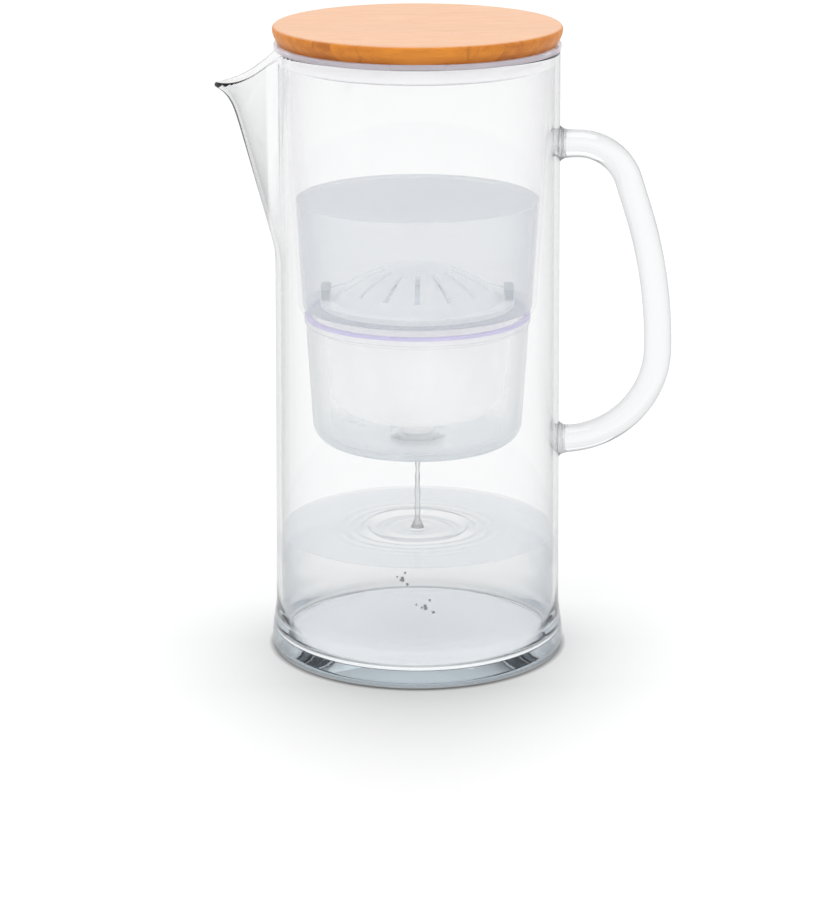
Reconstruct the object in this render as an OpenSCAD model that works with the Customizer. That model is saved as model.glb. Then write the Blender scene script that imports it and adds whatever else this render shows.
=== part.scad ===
// Glass water filter pitcher: a jug with a drawn spout and a rod handle, a funnel that
// hangs in its mouth, a filter cup and cartridge under it, and a round bamboo lid.
// Millimetres, +Z up. The origin is the centre of the jug's underside, where it stands.
// The spout points to -X, the handle to +X and the funnel's finger notch to -Y.

/* [Jug] */
// Height of the glass rim above the table
jug_h = 276; // [250:0.5:300]
// Outer diameter of the glass just above its foot
jug_d = 130; // [126:0.5:138]
// Outer diameter of the glass at its rim
rim_d = 126; // [122:0.5:132]
// Outer diameter of the flared foot
foot_d = 134; // [130:0.5:144]
// Height up to which the foot flares
foot_h = 24; // [12:0.5:40]
// Radius of the foot's lower edge
foot_edge_r = 3; // [1:0.1:5]
// Thickness of the glass wall
glass_t = 2.4; // [1.8:0.1:3.2]
// Thickness of the glass floor
floor_t = 6; // [3:0.1:10]
// Radius between the floor and the wall, inside
floor_corner_r = 6; // [2:0.5:12]
// Radius of the fire-polished edges of the rim
rim_edge_r = 0.8; // [0.3:0.05:0.85]

/* [Spout] */
// How far the spout's tip stands out from the rim
spout_out = 28.4; // [18:0.2:34]
// Height of the spout, from where it leaves the wall up to the rim
spout_h = 94; // [70:1:110]
// How far the tip lies below the rim
spout_dip = 16; // [6:0.5:18]
// Half the angle of the wall that the spout takes up
spout_half_angle = 21; // [16:0.5:26]
// Share of the spout's reach that its straight ridge gives, with the curled lip giving the rest
spout_ridge_share = 0.74; // [0.6:0.01:0.95]

/* [Handle] */
// Diameter of the glass rod
rod_d = 12.4; // [10:0.1:15]
// Height of the upper weld's centre
handle_top = 233.3; // [220:0.5:245]
// Height of the lower weld's centre
handle_low = 97; // [85:0.5:110]
// Greatest distance from the jug's outer wall to the rod's centreline
handle_gap = 43.6; // [38:0.2:52]
// Radius of the upper bend
upper_bend_r = 24; // [16:0.5:28]
// Radius of the lower bend
lower_bend_r = 42.5; // [34:0.5:48]
// Lean of the upright below the upper bend, in degrees
handle_lean = 18; // [14:0.5:24]
// Length of the straight stretch below the upper bend
upright_straight = 14; // [6:0.5:20]
// Diameter of the weld pads on the wall
pad_d = 16.5; // [15.2:0.1:20]
// Length of the weld pads
pad_t = 4.5; // [2:0.1:6]

/* [Funnel] */
// Gap between the funnel's mouth and the inside of the glass
funnel_gap = 0.8; // [0.5:0.05:1.4]
// Thickness of the flange that rests on the glass rim
flange_t = 2.4; // [1.6:0.1:4]
// How far the flange stands out past the glass rim
flange_over = 0.5; // [0.2:0.1:2]
// Width of the finger notch in the front of the flange
notch_w = 24; // [14:0.5:34]
// Depth of the finger notch, inwards from the flange's edge
notch_depth = 2.2; // [1:0.1:2.6]
// Depth of the reservoir, from the glass rim down to the step
reservoir_depth = 115.5; // [100:0.5:125]
// Height of the chamfered step under the reservoir
step_h = 3.5; // [2.6:0.1:6]
// Width of the chamfered step
step_w = 2.6; // [1.5:0.1:4]
// Wall thickness of the reservoir and the filter cup
plastic_t = 1.8; // [1.4:0.1:2.2]
// Height of the thick collar at the funnel's mouth
collar_h = 8; // [7.8:0.1:14]
// Radial thickness of the collar
collar_t = 2.8; // [2.4:0.1:3.6]
// Height of the silicone gasket band
gasket_h = 5.4; // [3:0.1:6.2]
// Distance from the flange down to the gasket
gasket_drop = 0.8; // [0.4:0.1:1.4]
// Depth of the gasket's groove
gasket_groove = 1.1; // [0.6:0.1:1.4]

/* [Filter cup] */
// Outer diameter at the top
cup_top_d = 100; // [96:0.5:103]
// How far the side is drawn in on its way down to the bottom rounding
cup_draw_in = 2.5; // [1:0.1:4.5]
// Height
cup_h = 58.1; // [54:0.5:66]
// How far the rim stands out
cup_lip = 1; // [0.6:0.1:2]
// Height of the rim
cup_lip_h = 2; // [1.2:0.1:4]
// Height of the straight seat that the reservoir's spigot enters
cup_seat_h = 8; // [7.6:0.1:12]
// Outer radius of the bottom rounding
cup_corner_r = 9.5; // [6:0.5:14]
// Thickness of the floor
cup_floor_t = 2; // [1.5:0.1:3]
// Thickness of the ring seal under the step
cup_seal_t = 1.4; // [0.8:0.1:2.5]
// Length of the reservoir's spigot inside the cup
spigot_h = 6; // [4:0.1:7]
// Height of the snap bead on the spigot
bead_h = 0.5; // [0.3:0.05:0.7]
// Outer diameter of the socket that holds the cartridge's outlet
socket_d = 24.6; // [22:0.2:28]
// Bore of the socket
socket_bore_d = 17.2; // [16:0.1:19]
// Height of the socket above the cup's floor
socket_h = 11; // [9.5:0.1:14]
// Bore of the outlet nozzle
nozzle_bore_d = 11; // [7:0.1:11.6]
// Outer diameter of the nozzle's tube
nozzle_d = 13.8; // [13.2:0.1:14.4]
// Diameter of the nozzle's flange
nozzle_flange_d = 24.6; // [20:0.2:30]
// Thickness of the nozzle's flange
nozzle_flange_t = 1.5; // [1:0.1:2.5]

/* [Cartridge] */
// Gap between the shell and the funnel's spigot, through which the cartridge is lifted
cartridge_gap = 2.7; // [2:0.1:5]
// How far the shell's side is drawn in on its way down to its bottom rounding
shell_draw_in = 4.1; // [2.5:0.1:6]
// Height of the shell without its outlet
shell_h = 49.5; // [44:0.5:54]
// Wall thickness of the shell and the cap
shell_t = 1.6; // [1.2:0.1:2]
// Outer radius of the shell's bottom rounding
shell_corner_r = 13; // [12:0.5:24]
// Height of the cap's flat rim
cap_rim_t = 3; // [2:0.1:5]
// Depth of the cap's skirt inside the shell
cap_skirt_h = 2; // [1:0.1:3]
// Width of the cap's flat rim around the dome
dome_inset = 5.6; // [4.6:0.1:8]
// Height of the dome above the rim
dome_h = 16; // [10:0.5:20]
// Number of inlet slots in the dome
slot_count = 14; // [8:1:18]
// Width of an inlet slot
slot_w = 2.4; // [1.4:0.1:3]
// Width of a grip
grip_w = 16; // [8:0.5:22]
// Thickness of a grip
grip_t = 3.6; // [2:0.1:4.4]
// Height of the grips above the cap's rim
grip_h = 5.5; // [3:0.1:8]
// Outer diameter of the outlet
outlet_d = 16.4; // [15.6:0.1:16.4]
// Length of the outlet below the shell
outlet_h = 9; // [7:0.1:9]
// Bore of the outlet
outlet_bore_d = 10.8; // [8:0.1:11]
// Thickness of the O-ring
oring_t = 1.6; // [1.2:0.05:1.7]
// Thickness of the perforated screens
screen_t = 0.8; // [0.5:0.1:1.2]
// Diameter of the holes in the screens
screen_hole_d = 2.4; // [1.6:0.1:3]
// How far inside the shell's bottom rounding the outlet screen ends
outlet_screen_margin = 2.5; // [0.5:0.1:6]
// Thickness of a fleece
fleece_t = 2; // [1:0.1:3]
// Height of the resin bed
resin_h = 22; // [16:0.5:26]

/* [Lid] */
// Thickness of the bamboo disc
lid_t = 8.1; // [6.6:0.1:12]
// How far the lid stands out past the flange
lid_over = 0.5; // [0:0.1:2]
// How far the disc's lower edge is drawn in
lid_undercut = 2.6; // [1:0.1:4]
// Radius of the disc's top edge
lid_edge_r = 1.6; // [0.6:0.1:2.4]
// Depth of the plug below the disc
plug_h = 9.8; // [7:0.1:13]
// Gap between the plug and the funnel's mouth
plug_gap = 1.2; // [0.8:0.1:2]
// Wall thickness of the plug
plug_t = 2.8; // [2.4:0.1:3.6]
// Thickness of the plug's floor
plug_floor_t = 2; // [1.9:0.1:3]
// Height of the lid's seal
lid_seal_h = 3.2; // [2:0.1:4]
// Depth of the seal's groove
lid_groove = 1; // [0.6:0.1:1.4]
// Distance from the lid's axis to each screw
screw_pitch_r = 40; // [25:0.5:46]
// Diameter of the screws
screw_d = 3.2; // [2.5:0.1:4]
// Length of the screw inside the bamboo
screw_bite = 5.6; // [3:0.1:5.8]

/* [Hidden] */
$fn = 96;

// Clearance between pieces of different bodies that slide past each other
slide_fit = 0.3;
// Clearance between pieces of one body that are pushed together
snug_fit = 0.1;
// Clearance between the filter media and the shell around them
media_fit = 0.2;
// Overshoot of a cut past the face that it opens
over = 1;

// Radii of the glass
jug_r = jug_d / 2;
rim_r = rim_d / 2;
foot_r = foot_d / 2;
rim_inner_r = rim_r - glass_t;
spout_low_z = jug_h - spout_h;
spout_tip_z = jug_h - spout_dip;
// The channel is narrower than the spout by the glass on its two flanks
channel_half_angle = spout_half_angle - 1.5 * asin(glass_t / rim_r);
// How far the spout's surface starts inside the wall, so that the two cross cleanly
spout_root = 0.6;
// Where the slanted edge leaves the level rim, just outside the spout's two edges
spout_edge_x = rim_r * cos(spout_half_angle + 4);
spout_slant = atan(spout_dip / (rim_r + spout_out - spout_edge_x));

// Handle path, from the upper weld round to the lower one
reach_x = jug_r + handle_gap;
lower_arc_x = reach_x - lower_bend_r;
lower_arc_z = handle_low + lower_bend_r;
upper_drop = upper_bend_r * (1 - sin(handle_lean)) + upright_straight * cos(handle_lean);
bow_r = (handle_top - lower_arc_z - upper_drop) / sin(handle_lean);
bow_end_x = reach_x - bow_r * (1 - cos(handle_lean));
upper_end_x = bow_end_x - upright_straight * sin(handle_lean);
upper_arc_x = upper_end_x - upper_bend_r * cos(handle_lean);
upper_arc_z = handle_top - upper_bend_r;
// The rod's ends start inside the wall and are cut off along it
weld_root_x = min(rim_inner_r, lower_arc_x) - 2;
rod_sides = 24;

// Funnel radii and heights
mouth_outer_r = rim_inner_r - funnel_gap;
mouth_inner_r = mouth_outer_r - collar_t;
flange_r = rim_r + flange_over;
flange_top_z = jug_h + flange_t;
gasket_outer_r = rim_inner_r - slide_fit;
gasket_top_z = jug_h - gasket_drop;
gasket_inner_r = mouth_outer_r - gasket_groove;
cup_r = cup_top_d / 2;
cup_low_r = cup_r - cup_draw_in;
neck_r = cup_r + cup_lip;
step_r = neck_r + step_w;
step_z = jug_h - reservoir_depth;
neck_z = step_z - step_h;
spigot_r = cup_r - plastic_t - snug_fit;
spigot_inner_r = spigot_r - plastic_t;
bead_z = neck_z - spigot_h + 2 * bead_h;

// Filter cup heights
cup_top_z = neck_z - cup_seal_t;
cup_z = cup_top_z - cup_h;
cup_floor_z = cup_z + cup_floor_t;
cup_inner_r = cup_r - plastic_t;
cup_corner_inner_r = cup_corner_r - plastic_t;
socket_z = cup_floor_z + socket_h;
nozzle_r = nozzle_d / 2;
nozzle_hole_r = nozzle_r + snug_fit;
nozzle_bead = 0.6;

// Cartridge heights, standing on the socket
shell_z = socket_z;
shell_top_z = shell_z + shell_h;
shell_r = spigot_inner_r - cartridge_gap;
shell_low_r = shell_r - shell_draw_in;
shell_inner_r = shell_r - shell_t;
shell_floor_z = shell_z + shell_t;
cap_top_z = shell_top_z + cap_rim_t;
dome_r = shell_r - dome_inset;
dome_sphere_r = (dome_r * dome_r + dome_h * dome_h) / (2 * dome_h);
skirt_z = shell_top_z - cap_skirt_h;
outlet_r = outlet_d / 2;
oring_mid_r = socket_bore_d / 2 - media_fit - oring_t / 2;
oring_groove_r = oring_mid_r - oring_t / 2 - snug_fit / 2;
oring_z = shell_z - outlet_h / 2;
inlet_screen_z = skirt_z - screen_t;
top_fleece_z = inlet_screen_z - fleece_t;
outlet_screen_z = shell_floor_z;
outlet_screen_r = shell_low_r - shell_corner_r - outlet_screen_margin;
resin_z = outlet_screen_z + screen_t;
divider_z = resin_z + resin_h;
carbon_z = divider_z + fleece_t;

// Lid radii and heights
lid_z = flange_top_z;
lid_r = flange_r + lid_over;
lid_widest_z = lid_z + lid_t - lid_edge_r;
plug_r = mouth_inner_r - plug_gap;
plug_z = lid_z - plug_h;
lid_seal_r = mouth_inner_r - slide_fit;
lid_groove_r = plug_r - lid_groove;
lid_seal_z = plug_z + (plug_h - lid_seal_h) / 2;
post_r = screw_d / 2 + 2.8;
screw_hole_r = screw_d / 2 + snug_fit;
screw_head_r = screw_d;
screw_head_t = screw_d / 2;

// Points of an arc in the profile plane, from angle a to angle b in degrees
function arc(x, z, r, a, b, steps = 6) =
    [for (i = [0 : steps]) let (t = a + (b - a) * i / steps) [x + r * cos(t), z + r * sin(t)]];

// Outer radius of the jug's wall at a height, above the foot
function wall_r(z) = jug_r + (rim_r - jug_r) * (z - foot_h) / (jug_h - foot_h);

// Share of the spout's reach at an angle from its middle: 1 on the ridge and 0 at its edge
function spout_share(a, half_angle) = pow(cos(90 * pow(abs(a) / half_angle, 0.8)), 2);

// How far the ridge stands out at a height: a straight slope with a curled lip at its end
function ridge_out(z) =
    let (h = (z - spout_low_z) / (spout_tip_z - spout_low_z))
    let (curl = pow(min(max(h, 0), 1), 22))
    spout_out * (spout_ridge_share * h + (1 - spout_ridge_share) * curl);

// One ring of the spout at a height, closed by two corners inside the wall
function spout_ring(z, half_angle, inset, steps) =
    let (base_r = wall_r(z) - inset)
    [
        for (i = [0 : steps])
            let (a = half_angle * (2 * i / steps - 1))
            let (r = base_r - spout_root + (ridge_out(z) + spout_root) * spout_share(a, half_angle))
            [-r * cos(a), -r * sin(a), z],
        for (side = [1, -1])
            let (r = base_r - 2 * spout_root)
            [-r * cos(side * half_angle), -r * sin(side * half_angle), z]
    ];

// A closed skin over rings of equal numbers of points, each above the last
module skin(rings) {
    n = len(rings[0]);
    last = len(rings) - 1;
    points = [for (ring = rings) for (p = ring) p];
    sides = [
        for (k = [0 : last - 1])
            for (i = [0 : n - 1])
                let (j = (i + 1) % n)
                each [[k * n + i, k * n + n + i, k * n + n + j], [k * n + i, k * n + n + j, k * n + j]]
    ];
    bottom = [[for (i = [0 : n - 1]) i]];
    top = [[for (i = [0 : n - 1]) last * n + n - 1 - i]];
    polyhedron(points, concat(sides, bottom, top));
}

// The spout's solid between its root and a height at or over the rim
module spout_solid(half_angle, inset, top_z) {
    rows = 12;
    first_z = spout_low_z + 0.5;
    // The rows lie closer together towards the curled lip
    skin([
        for (k = [0 : rows])
            let (t = 1 - pow(1 - k / rows, 1.8))
            spout_ring(first_z + (top_z - first_z) * t, half_angle, inset, 14)
    ]);
}

// Everything above the slanted edge of the spout
module spout_trim() {
    translate([-spout_edge_x, 0, jug_h])
        rotate([0, -spout_slant, 0])
            translate([-3 * spout_out, -rim_r, 0]) cube([4 * spout_out, 2 * rim_r, spout_h]);
}

// Outside of the round glass body, as a solid
module glass_outline() {
    flare_z = foot_edge_r + 1;
    rotate_extrude() polygon(concat(
        [[0, 0]],
        arc(foot_r - foot_edge_r, foot_edge_r, foot_edge_r, -90, 0),
        [
            for (i = [0 : 6])
                [jug_r + (foot_r - jug_r) * (1 + cos(30 * i)) / 2, flare_z + (foot_h - flare_z) * i / 6]
        ],
        arc(rim_r - rim_edge_r, jug_h - rim_edge_r, rim_edge_r, 0, 90, 4),
        [[0, jug_h]]
    ));
}

// Inside of the round glass body, as a solid, with the rim's inner edge rounded off.
// Its floor stays inside the foot where that is narrower than the wall.
module glass_hollow() {
    floor_r = min(wall_r(floor_t + floor_corner_r), foot_r) - glass_t;
    rotate_extrude() polygon(concat(
        [[0, floor_t]],
        arc(floor_r - floor_corner_r, floor_t + floor_corner_r, floor_corner_r, -90, 0),
        [[jug_r - glass_t, foot_h]],
        arc(rim_inner_r + rim_edge_r, jug_h - rim_edge_r, rim_edge_r, 180, 90, 4),
        [[rim_inner_r + rim_edge_r, jug_h + over], [0, jug_h + over]]
    ));
}

module glass_jug() {
    color([0.86, 0.91, 0.93, 0.35])
        difference() {
            union() {
                glass_outline();
                // It ends lower than the two hollows, so that no two flat tops lie in one plane
                spout_solid(spout_half_angle, 0, jug_h + over / 2);
            }
            glass_hollow();
            spout_solid(channel_half_angle, glass_t, jug_h + over);
            spout_trim();
        }
}

// Stations along a bend of the rod: x, z and heading, from angle a to angle b about a centre
function rod_bend(x, z, r, a, b, steps) =
    [
        for (i = [0 : steps])
            let (t = a + (b - a) * i / steps)
            [x + r * cos(t), z + r * sin(t), t - 90]
    ];

// One ring of the rod, which swells to the pad's size where it meets the wall
function rod_ring(station) =
    let (from_wall = station[0] - wall_r(station[1]))
    let (swell = pow(min(max(1 - from_wall / pad_t, 0), 1), 2))
    let (r = (rod_d + (pad_d - rod_d) * swell) / 2)
    [
        for (i = [0 : rod_sides - 1])
            let (a = -360 * i / rod_sides)
            let (out = r * cos(a))
            [station[0] - out * sin(station[2]), r * sin(a), station[1] + out * cos(station[2])]
    ];

module glass_handle() {
    wall_x = wall_r(handle_top);
    stations = concat(
        [for (x = [weld_root_x, wall_x, wall_x + pad_t / 3, wall_x + pad_t]) [x, handle_top, 0]],
        rod_bend(upper_arc_x, upper_arc_z, upper_bend_r, 90, handle_lean, 9),
        rod_bend(reach_x - bow_r, lower_arc_z, bow_r, handle_lean, 0, 6),
        rod_bend(lower_arc_x, lower_arc_z, lower_bend_r, -5, -90, 17),
        [[weld_root_x, handle_low, -180]]
    );
    color([0.88, 0.92, 0.94, 0.4])
        difference() {
            skin([for (station = stations) rod_ring(station)]);
            glass_outline();
        }
}

module funnel_reservoir() {
    wall_top_r = mouth_outer_r;
    collar_z = jug_h - collar_h;
    color([0.85, 0.86, 0.92, 0.5])
        difference() {
            rotate_extrude() difference() {
                // Outer shape
                polygon([
                    [0, neck_z - spigot_h], [spigot_r, neck_z - spigot_h],
                    [spigot_r, bead_z - bead_h], [spigot_r + bead_h, bead_z], [spigot_r, bead_z + bead_h],
                    [spigot_r, neck_z], [neck_r, neck_z], [step_r, step_z],
                    [wall_top_r, collar_z], [wall_top_r, gasket_top_z - gasket_h],
                    [gasket_inner_r, gasket_top_z - gasket_h], [gasket_inner_r, gasket_top_z],
                    [wall_top_r, gasket_top_z], [wall_top_r, jug_h],
                    [flange_r, jug_h], [flange_r, flange_top_z], [0, flange_top_z]
                ]);
                // Inner shape
                polygon([
                    [0, neck_z - spigot_h - over], [spigot_inner_r, neck_z - spigot_h - over],
                    [spigot_inner_r, step_z], [step_r - plastic_t, step_z],
                    [wall_top_r - plastic_t, collar_z - collar_t + plastic_t],
                    [mouth_inner_r, collar_z],
                    [mouth_inner_r, flange_top_z + over], [0, flange_top_z + over]
                ]);
            }
            // Finger notch under the lid's front edge
            translate([-notch_w / 2, -flange_r - over, jug_h - over])
                cube([notch_w, notch_depth + over, flange_t + 2 * over]);
        }
}

module funnel_gasket() {
    ring_in = gasket_inner_r + snug_fit;
    bottom = gasket_top_z - gasket_h + snug_fit;
    top = gasket_top_z - snug_fit;
    lip = (gasket_outer_r - mouth_outer_r) * 0.8;
    color([0.9, 0.91, 0.93])
        rotate_extrude() polygon([
            [ring_in, bottom], [mouth_outer_r, bottom], [gasket_outer_r, bottom + lip],
            [gasket_outer_r, top - lip], [mouth_outer_r, top], [ring_in, top]
        ]);
}

module filter_cup() {
    seat_z = cup_top_z - cup_seat_h;
    low_z = cup_z + cup_corner_r;
    color([0.9, 0.9, 0.93, 0.5])
        rotate_extrude() difference() {
            // Outer shape with its rim
            polygon(concat(
                [[0, cup_z]],
                arc(cup_low_r - cup_corner_r, low_z, cup_corner_r, -90, 0, 8),
                [
                    [cup_r, seat_z], [cup_r, cup_top_z - cup_lip_h - cup_lip],
                    [neck_r, cup_top_z - cup_lip_h], [neck_r, cup_top_z], [0, cup_top_z]
                ]
            ));
            // Inner shape, down to the floor around the socket
            polygon(concat(
                [[socket_d / 2, cup_floor_z]],
                arc(
                    cup_low_r - cup_corner_r, cup_floor_z + cup_corner_inner_r, cup_corner_inner_r,
                    -90, 0, 8
                ),
                [
                    [cup_inner_r, seat_z], [cup_inner_r, bead_z - bead_h],
                    [cup_inner_r + bead_h, bead_z], [cup_inner_r, bead_z + bead_h],
                    [cup_inner_r, cup_top_z + over], [0, cup_top_z + over],
                    [0, socket_z], [socket_d / 2, socket_z]
                ]
            ));
            // Bore of the socket, and the nozzle's hole in the floor
            polygon([
                [0, cup_floor_z], [socket_bore_d / 2, cup_floor_z],
                [socket_bore_d / 2, socket_z + over], [0, socket_z + over]
            ]);
            polygon([
                [0, cup_z - over], [nozzle_hole_r, cup_z - over],
                [nozzle_hole_r, cup_floor_z + over], [0, cup_floor_z + over]
            ]);
        }
}

module cup_seal() {
    color([0.66, 0.6, 0.86])
        rotate_extrude() polygon([
            [spigot_r + snug_fit, cup_top_z], [neck_r, cup_top_z],
            [neck_r, neck_z], [spigot_r + snug_fit, neck_z]
        ]);
}

module outlet_nozzle() {
    bore_r = nozzle_bore_d / 2;
    color([0.62, 0.66, 0.7])
        rotate_extrude() polygon([
            [bore_r, cup_z - nozzle_flange_t], [nozzle_flange_d / 2, cup_z - nozzle_flange_t],
            [nozzle_flange_d / 2, cup_z], [nozzle_r, cup_z], [nozzle_r, cup_floor_z],
            [nozzle_r + nozzle_bead, cup_floor_z], [nozzle_r, cup_floor_z + 2 * nozzle_bead],
            [bore_r, cup_floor_z + 2 * nozzle_bead]
        ]);
}

// Profile of the inside of the shell, drawn in by a clearance, for the hollow and the media
module shell_inside(fit) {
    corner_r = shell_corner_r - shell_t;
    inset_r = shell_low_r - shell_corner_r;
    polygon(concat(
        [[0, shell_floor_z]],
        arc(inset_r, shell_floor_z + corner_r, corner_r - fit, -90, 0, 8),
        [[shell_inner_r - fit, shell_top_z + over], [0, shell_top_z + over]]
    ));
}

module cartridge_shell() {
    color([0.93, 0.93, 0.95, 0.7])
        rotate_extrude() difference() {
            union() {
                polygon(concat(
                    [[0, shell_z]],
                    arc(shell_low_r - shell_corner_r, shell_z + shell_corner_r, shell_corner_r, -90, 0, 8),
                    [[shell_r, shell_top_z], [0, shell_top_z]]
                ));
                // Outlet, with the groove for its O-ring
                polygon([
                    [0, shell_z - outlet_h], [outlet_r, shell_z - outlet_h],
                    [outlet_r, oring_z - oring_t / 2 - snug_fit],
                    [oring_groove_r, oring_z - oring_t / 2 - snug_fit],
                    [oring_groove_r, oring_z + oring_t / 2 + snug_fit],
                    [outlet_r, oring_z + oring_t / 2 + snug_fit],
                    [outlet_r, shell_z + shell_t], [0, shell_z + shell_t]
                ]);
            }
            shell_inside(0);
            translate([0, shell_z - outlet_h - over])
                square([outlet_bore_d / 2, outlet_h + shell_t + 2 * over]);
        }
}

// Point on a dome's sphere at a distance from the axis, a wall's thickness in
function dome_z(r, inset) =
    cap_top_z + dome_h - dome_sphere_r + sqrt(pow(dome_sphere_r - inset, 2) - r * r);

module cartridge_cap() {
    inner_r = dome_r - shell_t;
    skirt_r = shell_inner_at(skirt_z) - snug_fit;
    slot_from = dome_r * 0.4;
    slot_to = dome_r * 0.86;
    steps = 10;
    color([0.92, 0.93, 0.95, 0.7])
        difference() {
            union() {
                rotate_extrude() polygon(concat(
                    [for (i = [0 : steps]) let (r = inner_r * i / steps) [r, dome_z(r, shell_t)]],
                    [
                        [inner_r, skirt_z], [skirt_r, skirt_z], [skirt_r, shell_top_z],
                        [shell_r, shell_top_z], [shell_r, cap_top_z]
                    ],
                    [for (i = [0 : steps]) let (r = dome_r * (1 - i / steps)) [r, dome_z(r, 0)]]
                ));
                // Two upright grips on the rim
                grip_z = cap_top_z - cap_rim_t / 2;
                grip_rise = grip_h + cap_rim_t / 2;
                intersection() {
                    translate([-shell_r, -grip_w / 2, grip_z]) cube([2 * shell_r, grip_w, grip_rise]);
                    difference() {
                        translate([0, 0, grip_z]) cylinder(r = shell_r, h = grip_rise);
                        translate([0, 0, grip_z - over])
                            cylinder(r = shell_r - grip_t, h = grip_rise + 2 * over);
                    }
                }
            }
            for (i = [0 : slot_count - 1]) rotate([0, 0, (i + 0.5) * 360 / slot_count])
                translate([slot_from, -slot_w / 2, cap_top_z])
                    cube([slot_to - slot_from, slot_w, 2 * dome_h]);
        }
}

module cartridge_seal() {
    color([0.2, 0.2, 0.22])
        rotate_extrude() translate([oring_mid_r, oring_z]) circle(d = oring_t, $fn = 32);
}

// A disc with rings of small holes, spaced evenly out to its margin
module perforated_disc(r, z, rings) {
    pitch = (r - 2 * screen_hole_d) / rings;
    difference() {
        translate([0, 0, z]) cylinder(r = r, h = screen_t);
        for (k = [1 : rings]) for (i = [0 : 6 * k - 1]) rotate([0, 0, i * 60 / k])
            translate([k * pitch, 0, z - over])
                cylinder(d = screen_hole_d, h = screen_t + 2 * over, $fn = 16);
    }
}

module inlet_screen() {
    color([0.8, 0.82, 0.85]) perforated_disc(shell_inner_at(inlet_screen_z) - media_fit, inlet_screen_z, 4);
}

module outlet_screen() {
    color([0.8, 0.82, 0.85]) perforated_disc(outlet_screen_r, outlet_screen_z, 3);
}

// Inner radius of the shell's straight side at a height
function shell_inner_at(z) =
    let (low_z = shell_floor_z + shell_corner_r - shell_t)
    let (low_r = shell_low_r - shell_t)
    low_r + (shell_inner_r - low_r) * (z - low_z) / (shell_top_z + over - low_z);

// A layer of filter medium that fills the shell between two heights
module layer(z, h) {
    rotate_extrude() intersection() {
        shell_inside(media_fit);
        translate([0, z]) square([shell_r, h]);
    }
}

module top_fleece() {
    color([0.95, 0.95, 0.93]) layer(top_fleece_z, fleece_t);
}

module carbon_bed() {
    color([0.12, 0.12, 0.13]) layer(carbon_z, top_fleece_z - carbon_z);
}

module divider_fleece() {
    color([0.95, 0.95, 0.93]) layer(divider_z, fleece_t);
}

// The resin fills the shell's bottom and covers the outlet screen
module resin_bed() {
    color([0.85, 0.7, 0.4])
        difference() {
            layer(shell_floor_z, divider_z - shell_floor_z);
            translate([0, 0, shell_floor_z - over])
                cylinder(r = outlet_screen_r + media_fit, h = resin_z - shell_floor_z + over);
        }
}

// Places what follows at each of the three screws
module at_screws() {
    for (i = [0 : 2]) rotate([0, 0, 120 * i]) translate([screw_pitch_r, 0, 0]) children();
}

module lid_disc() {
    color([0.93, 0.62, 0.28])
        difference() {
            rotate_extrude() polygon(concat(
                [[0, lid_z]],
                [
                    for (i = [0 : 6])
                        let (t = i / 6)
                        [lid_r - lid_undercut * (1 - sin(90 * t)), lid_z + (lid_widest_z - lid_z) * t]
                ],
                arc(lid_r - lid_edge_r, lid_widest_z, lid_edge_r, 0, 90),
                [[0, lid_z + lid_t]]
            ));
            at_screws() translate([0, 0, lid_z - over])
                cylinder(r = screw_hole_r, h = screw_bite + over + snug_fit, $fn = 24);
        }
}

module lid_plug() {
    groove_z = lid_seal_z - snug_fit;
    color([0.88, 0.88, 0.9])
        difference() {
            union() {
                rotate_extrude() polygon([
                    [0, plug_z], [plug_r, plug_z],
                    [plug_r, groove_z], [lid_groove_r, groove_z],
                    [lid_groove_r, groove_z + lid_seal_h + 2 * snug_fit],
                    [plug_r, groove_z + lid_seal_h + 2 * snug_fit],
                    [plug_r, lid_z], [plug_r - plug_t, lid_z],
                    [plug_r - plug_t, plug_z + plug_floor_t], [0, plug_z + plug_floor_t]
                ]);
                at_screws() translate([0, 0, plug_z]) cylinder(r = post_r, h = plug_h, $fn = 32);
            }
            at_screws() translate([0, 0, plug_z - over])
                cylinder(r = screw_hole_r, h = plug_h + 2 * over, $fn = 24);
            at_screws() translate([0, 0, plug_z]) cylinder(
                r1 = screw_head_r + snug_fit, r2 = screw_hole_r, h = screw_head_t + snug_fit, $fn = 24
            );
        }
}

module lid_seal() {
    mid_z = lid_seal_z + lid_seal_h / 2;
    color([0.92, 0.92, 0.93])
        rotate_extrude() polygon([
            [lid_groove_r + snug_fit, lid_seal_z], [plug_r, lid_seal_z],
            [lid_seal_r, mid_z - lid_seal_h / 5], [lid_seal_r, mid_z + lid_seal_h / 5],
            [plug_r, lid_seal_z + lid_seal_h], [lid_groove_r + snug_fit, lid_seal_z + lid_seal_h]
        ]);
}

module lid_screws() {
    drive_t = screw_head_t * 0.6;
    color([0.75, 0.76, 0.78])
        at_screws() difference() {
            union() {
                translate([0, 0, plug_z])
                    cylinder(r1 = screw_head_r, r2 = screw_d / 2, h = screw_head_t, $fn = 24);
                translate([0, 0, plug_z]) cylinder(d = screw_d, h = plug_h + screw_bite, $fn = 24);
            }
            // Cross recess
            for (turn = [0, 90]) rotate([0, 0, turn])
                translate([-screw_head_r * 0.6, -0.4, plug_z - over])
                    cube([screw_head_r * 1.2, 0.8, drive_t + over]);
        }
}

glass_jug();
glass_handle();
funnel_reservoir();
funnel_gasket();
filter_cup();
cup_seal();
outlet_nozzle();
cartridge_shell();
cartridge_cap();
cartridge_seal();
inlet_screen();
top_fleece();
carbon_bed();
divider_fleece();
resin_bed();
outlet_screen();
lid_disc();
lid_plug();
lid_seal();
lid_screws();
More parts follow.
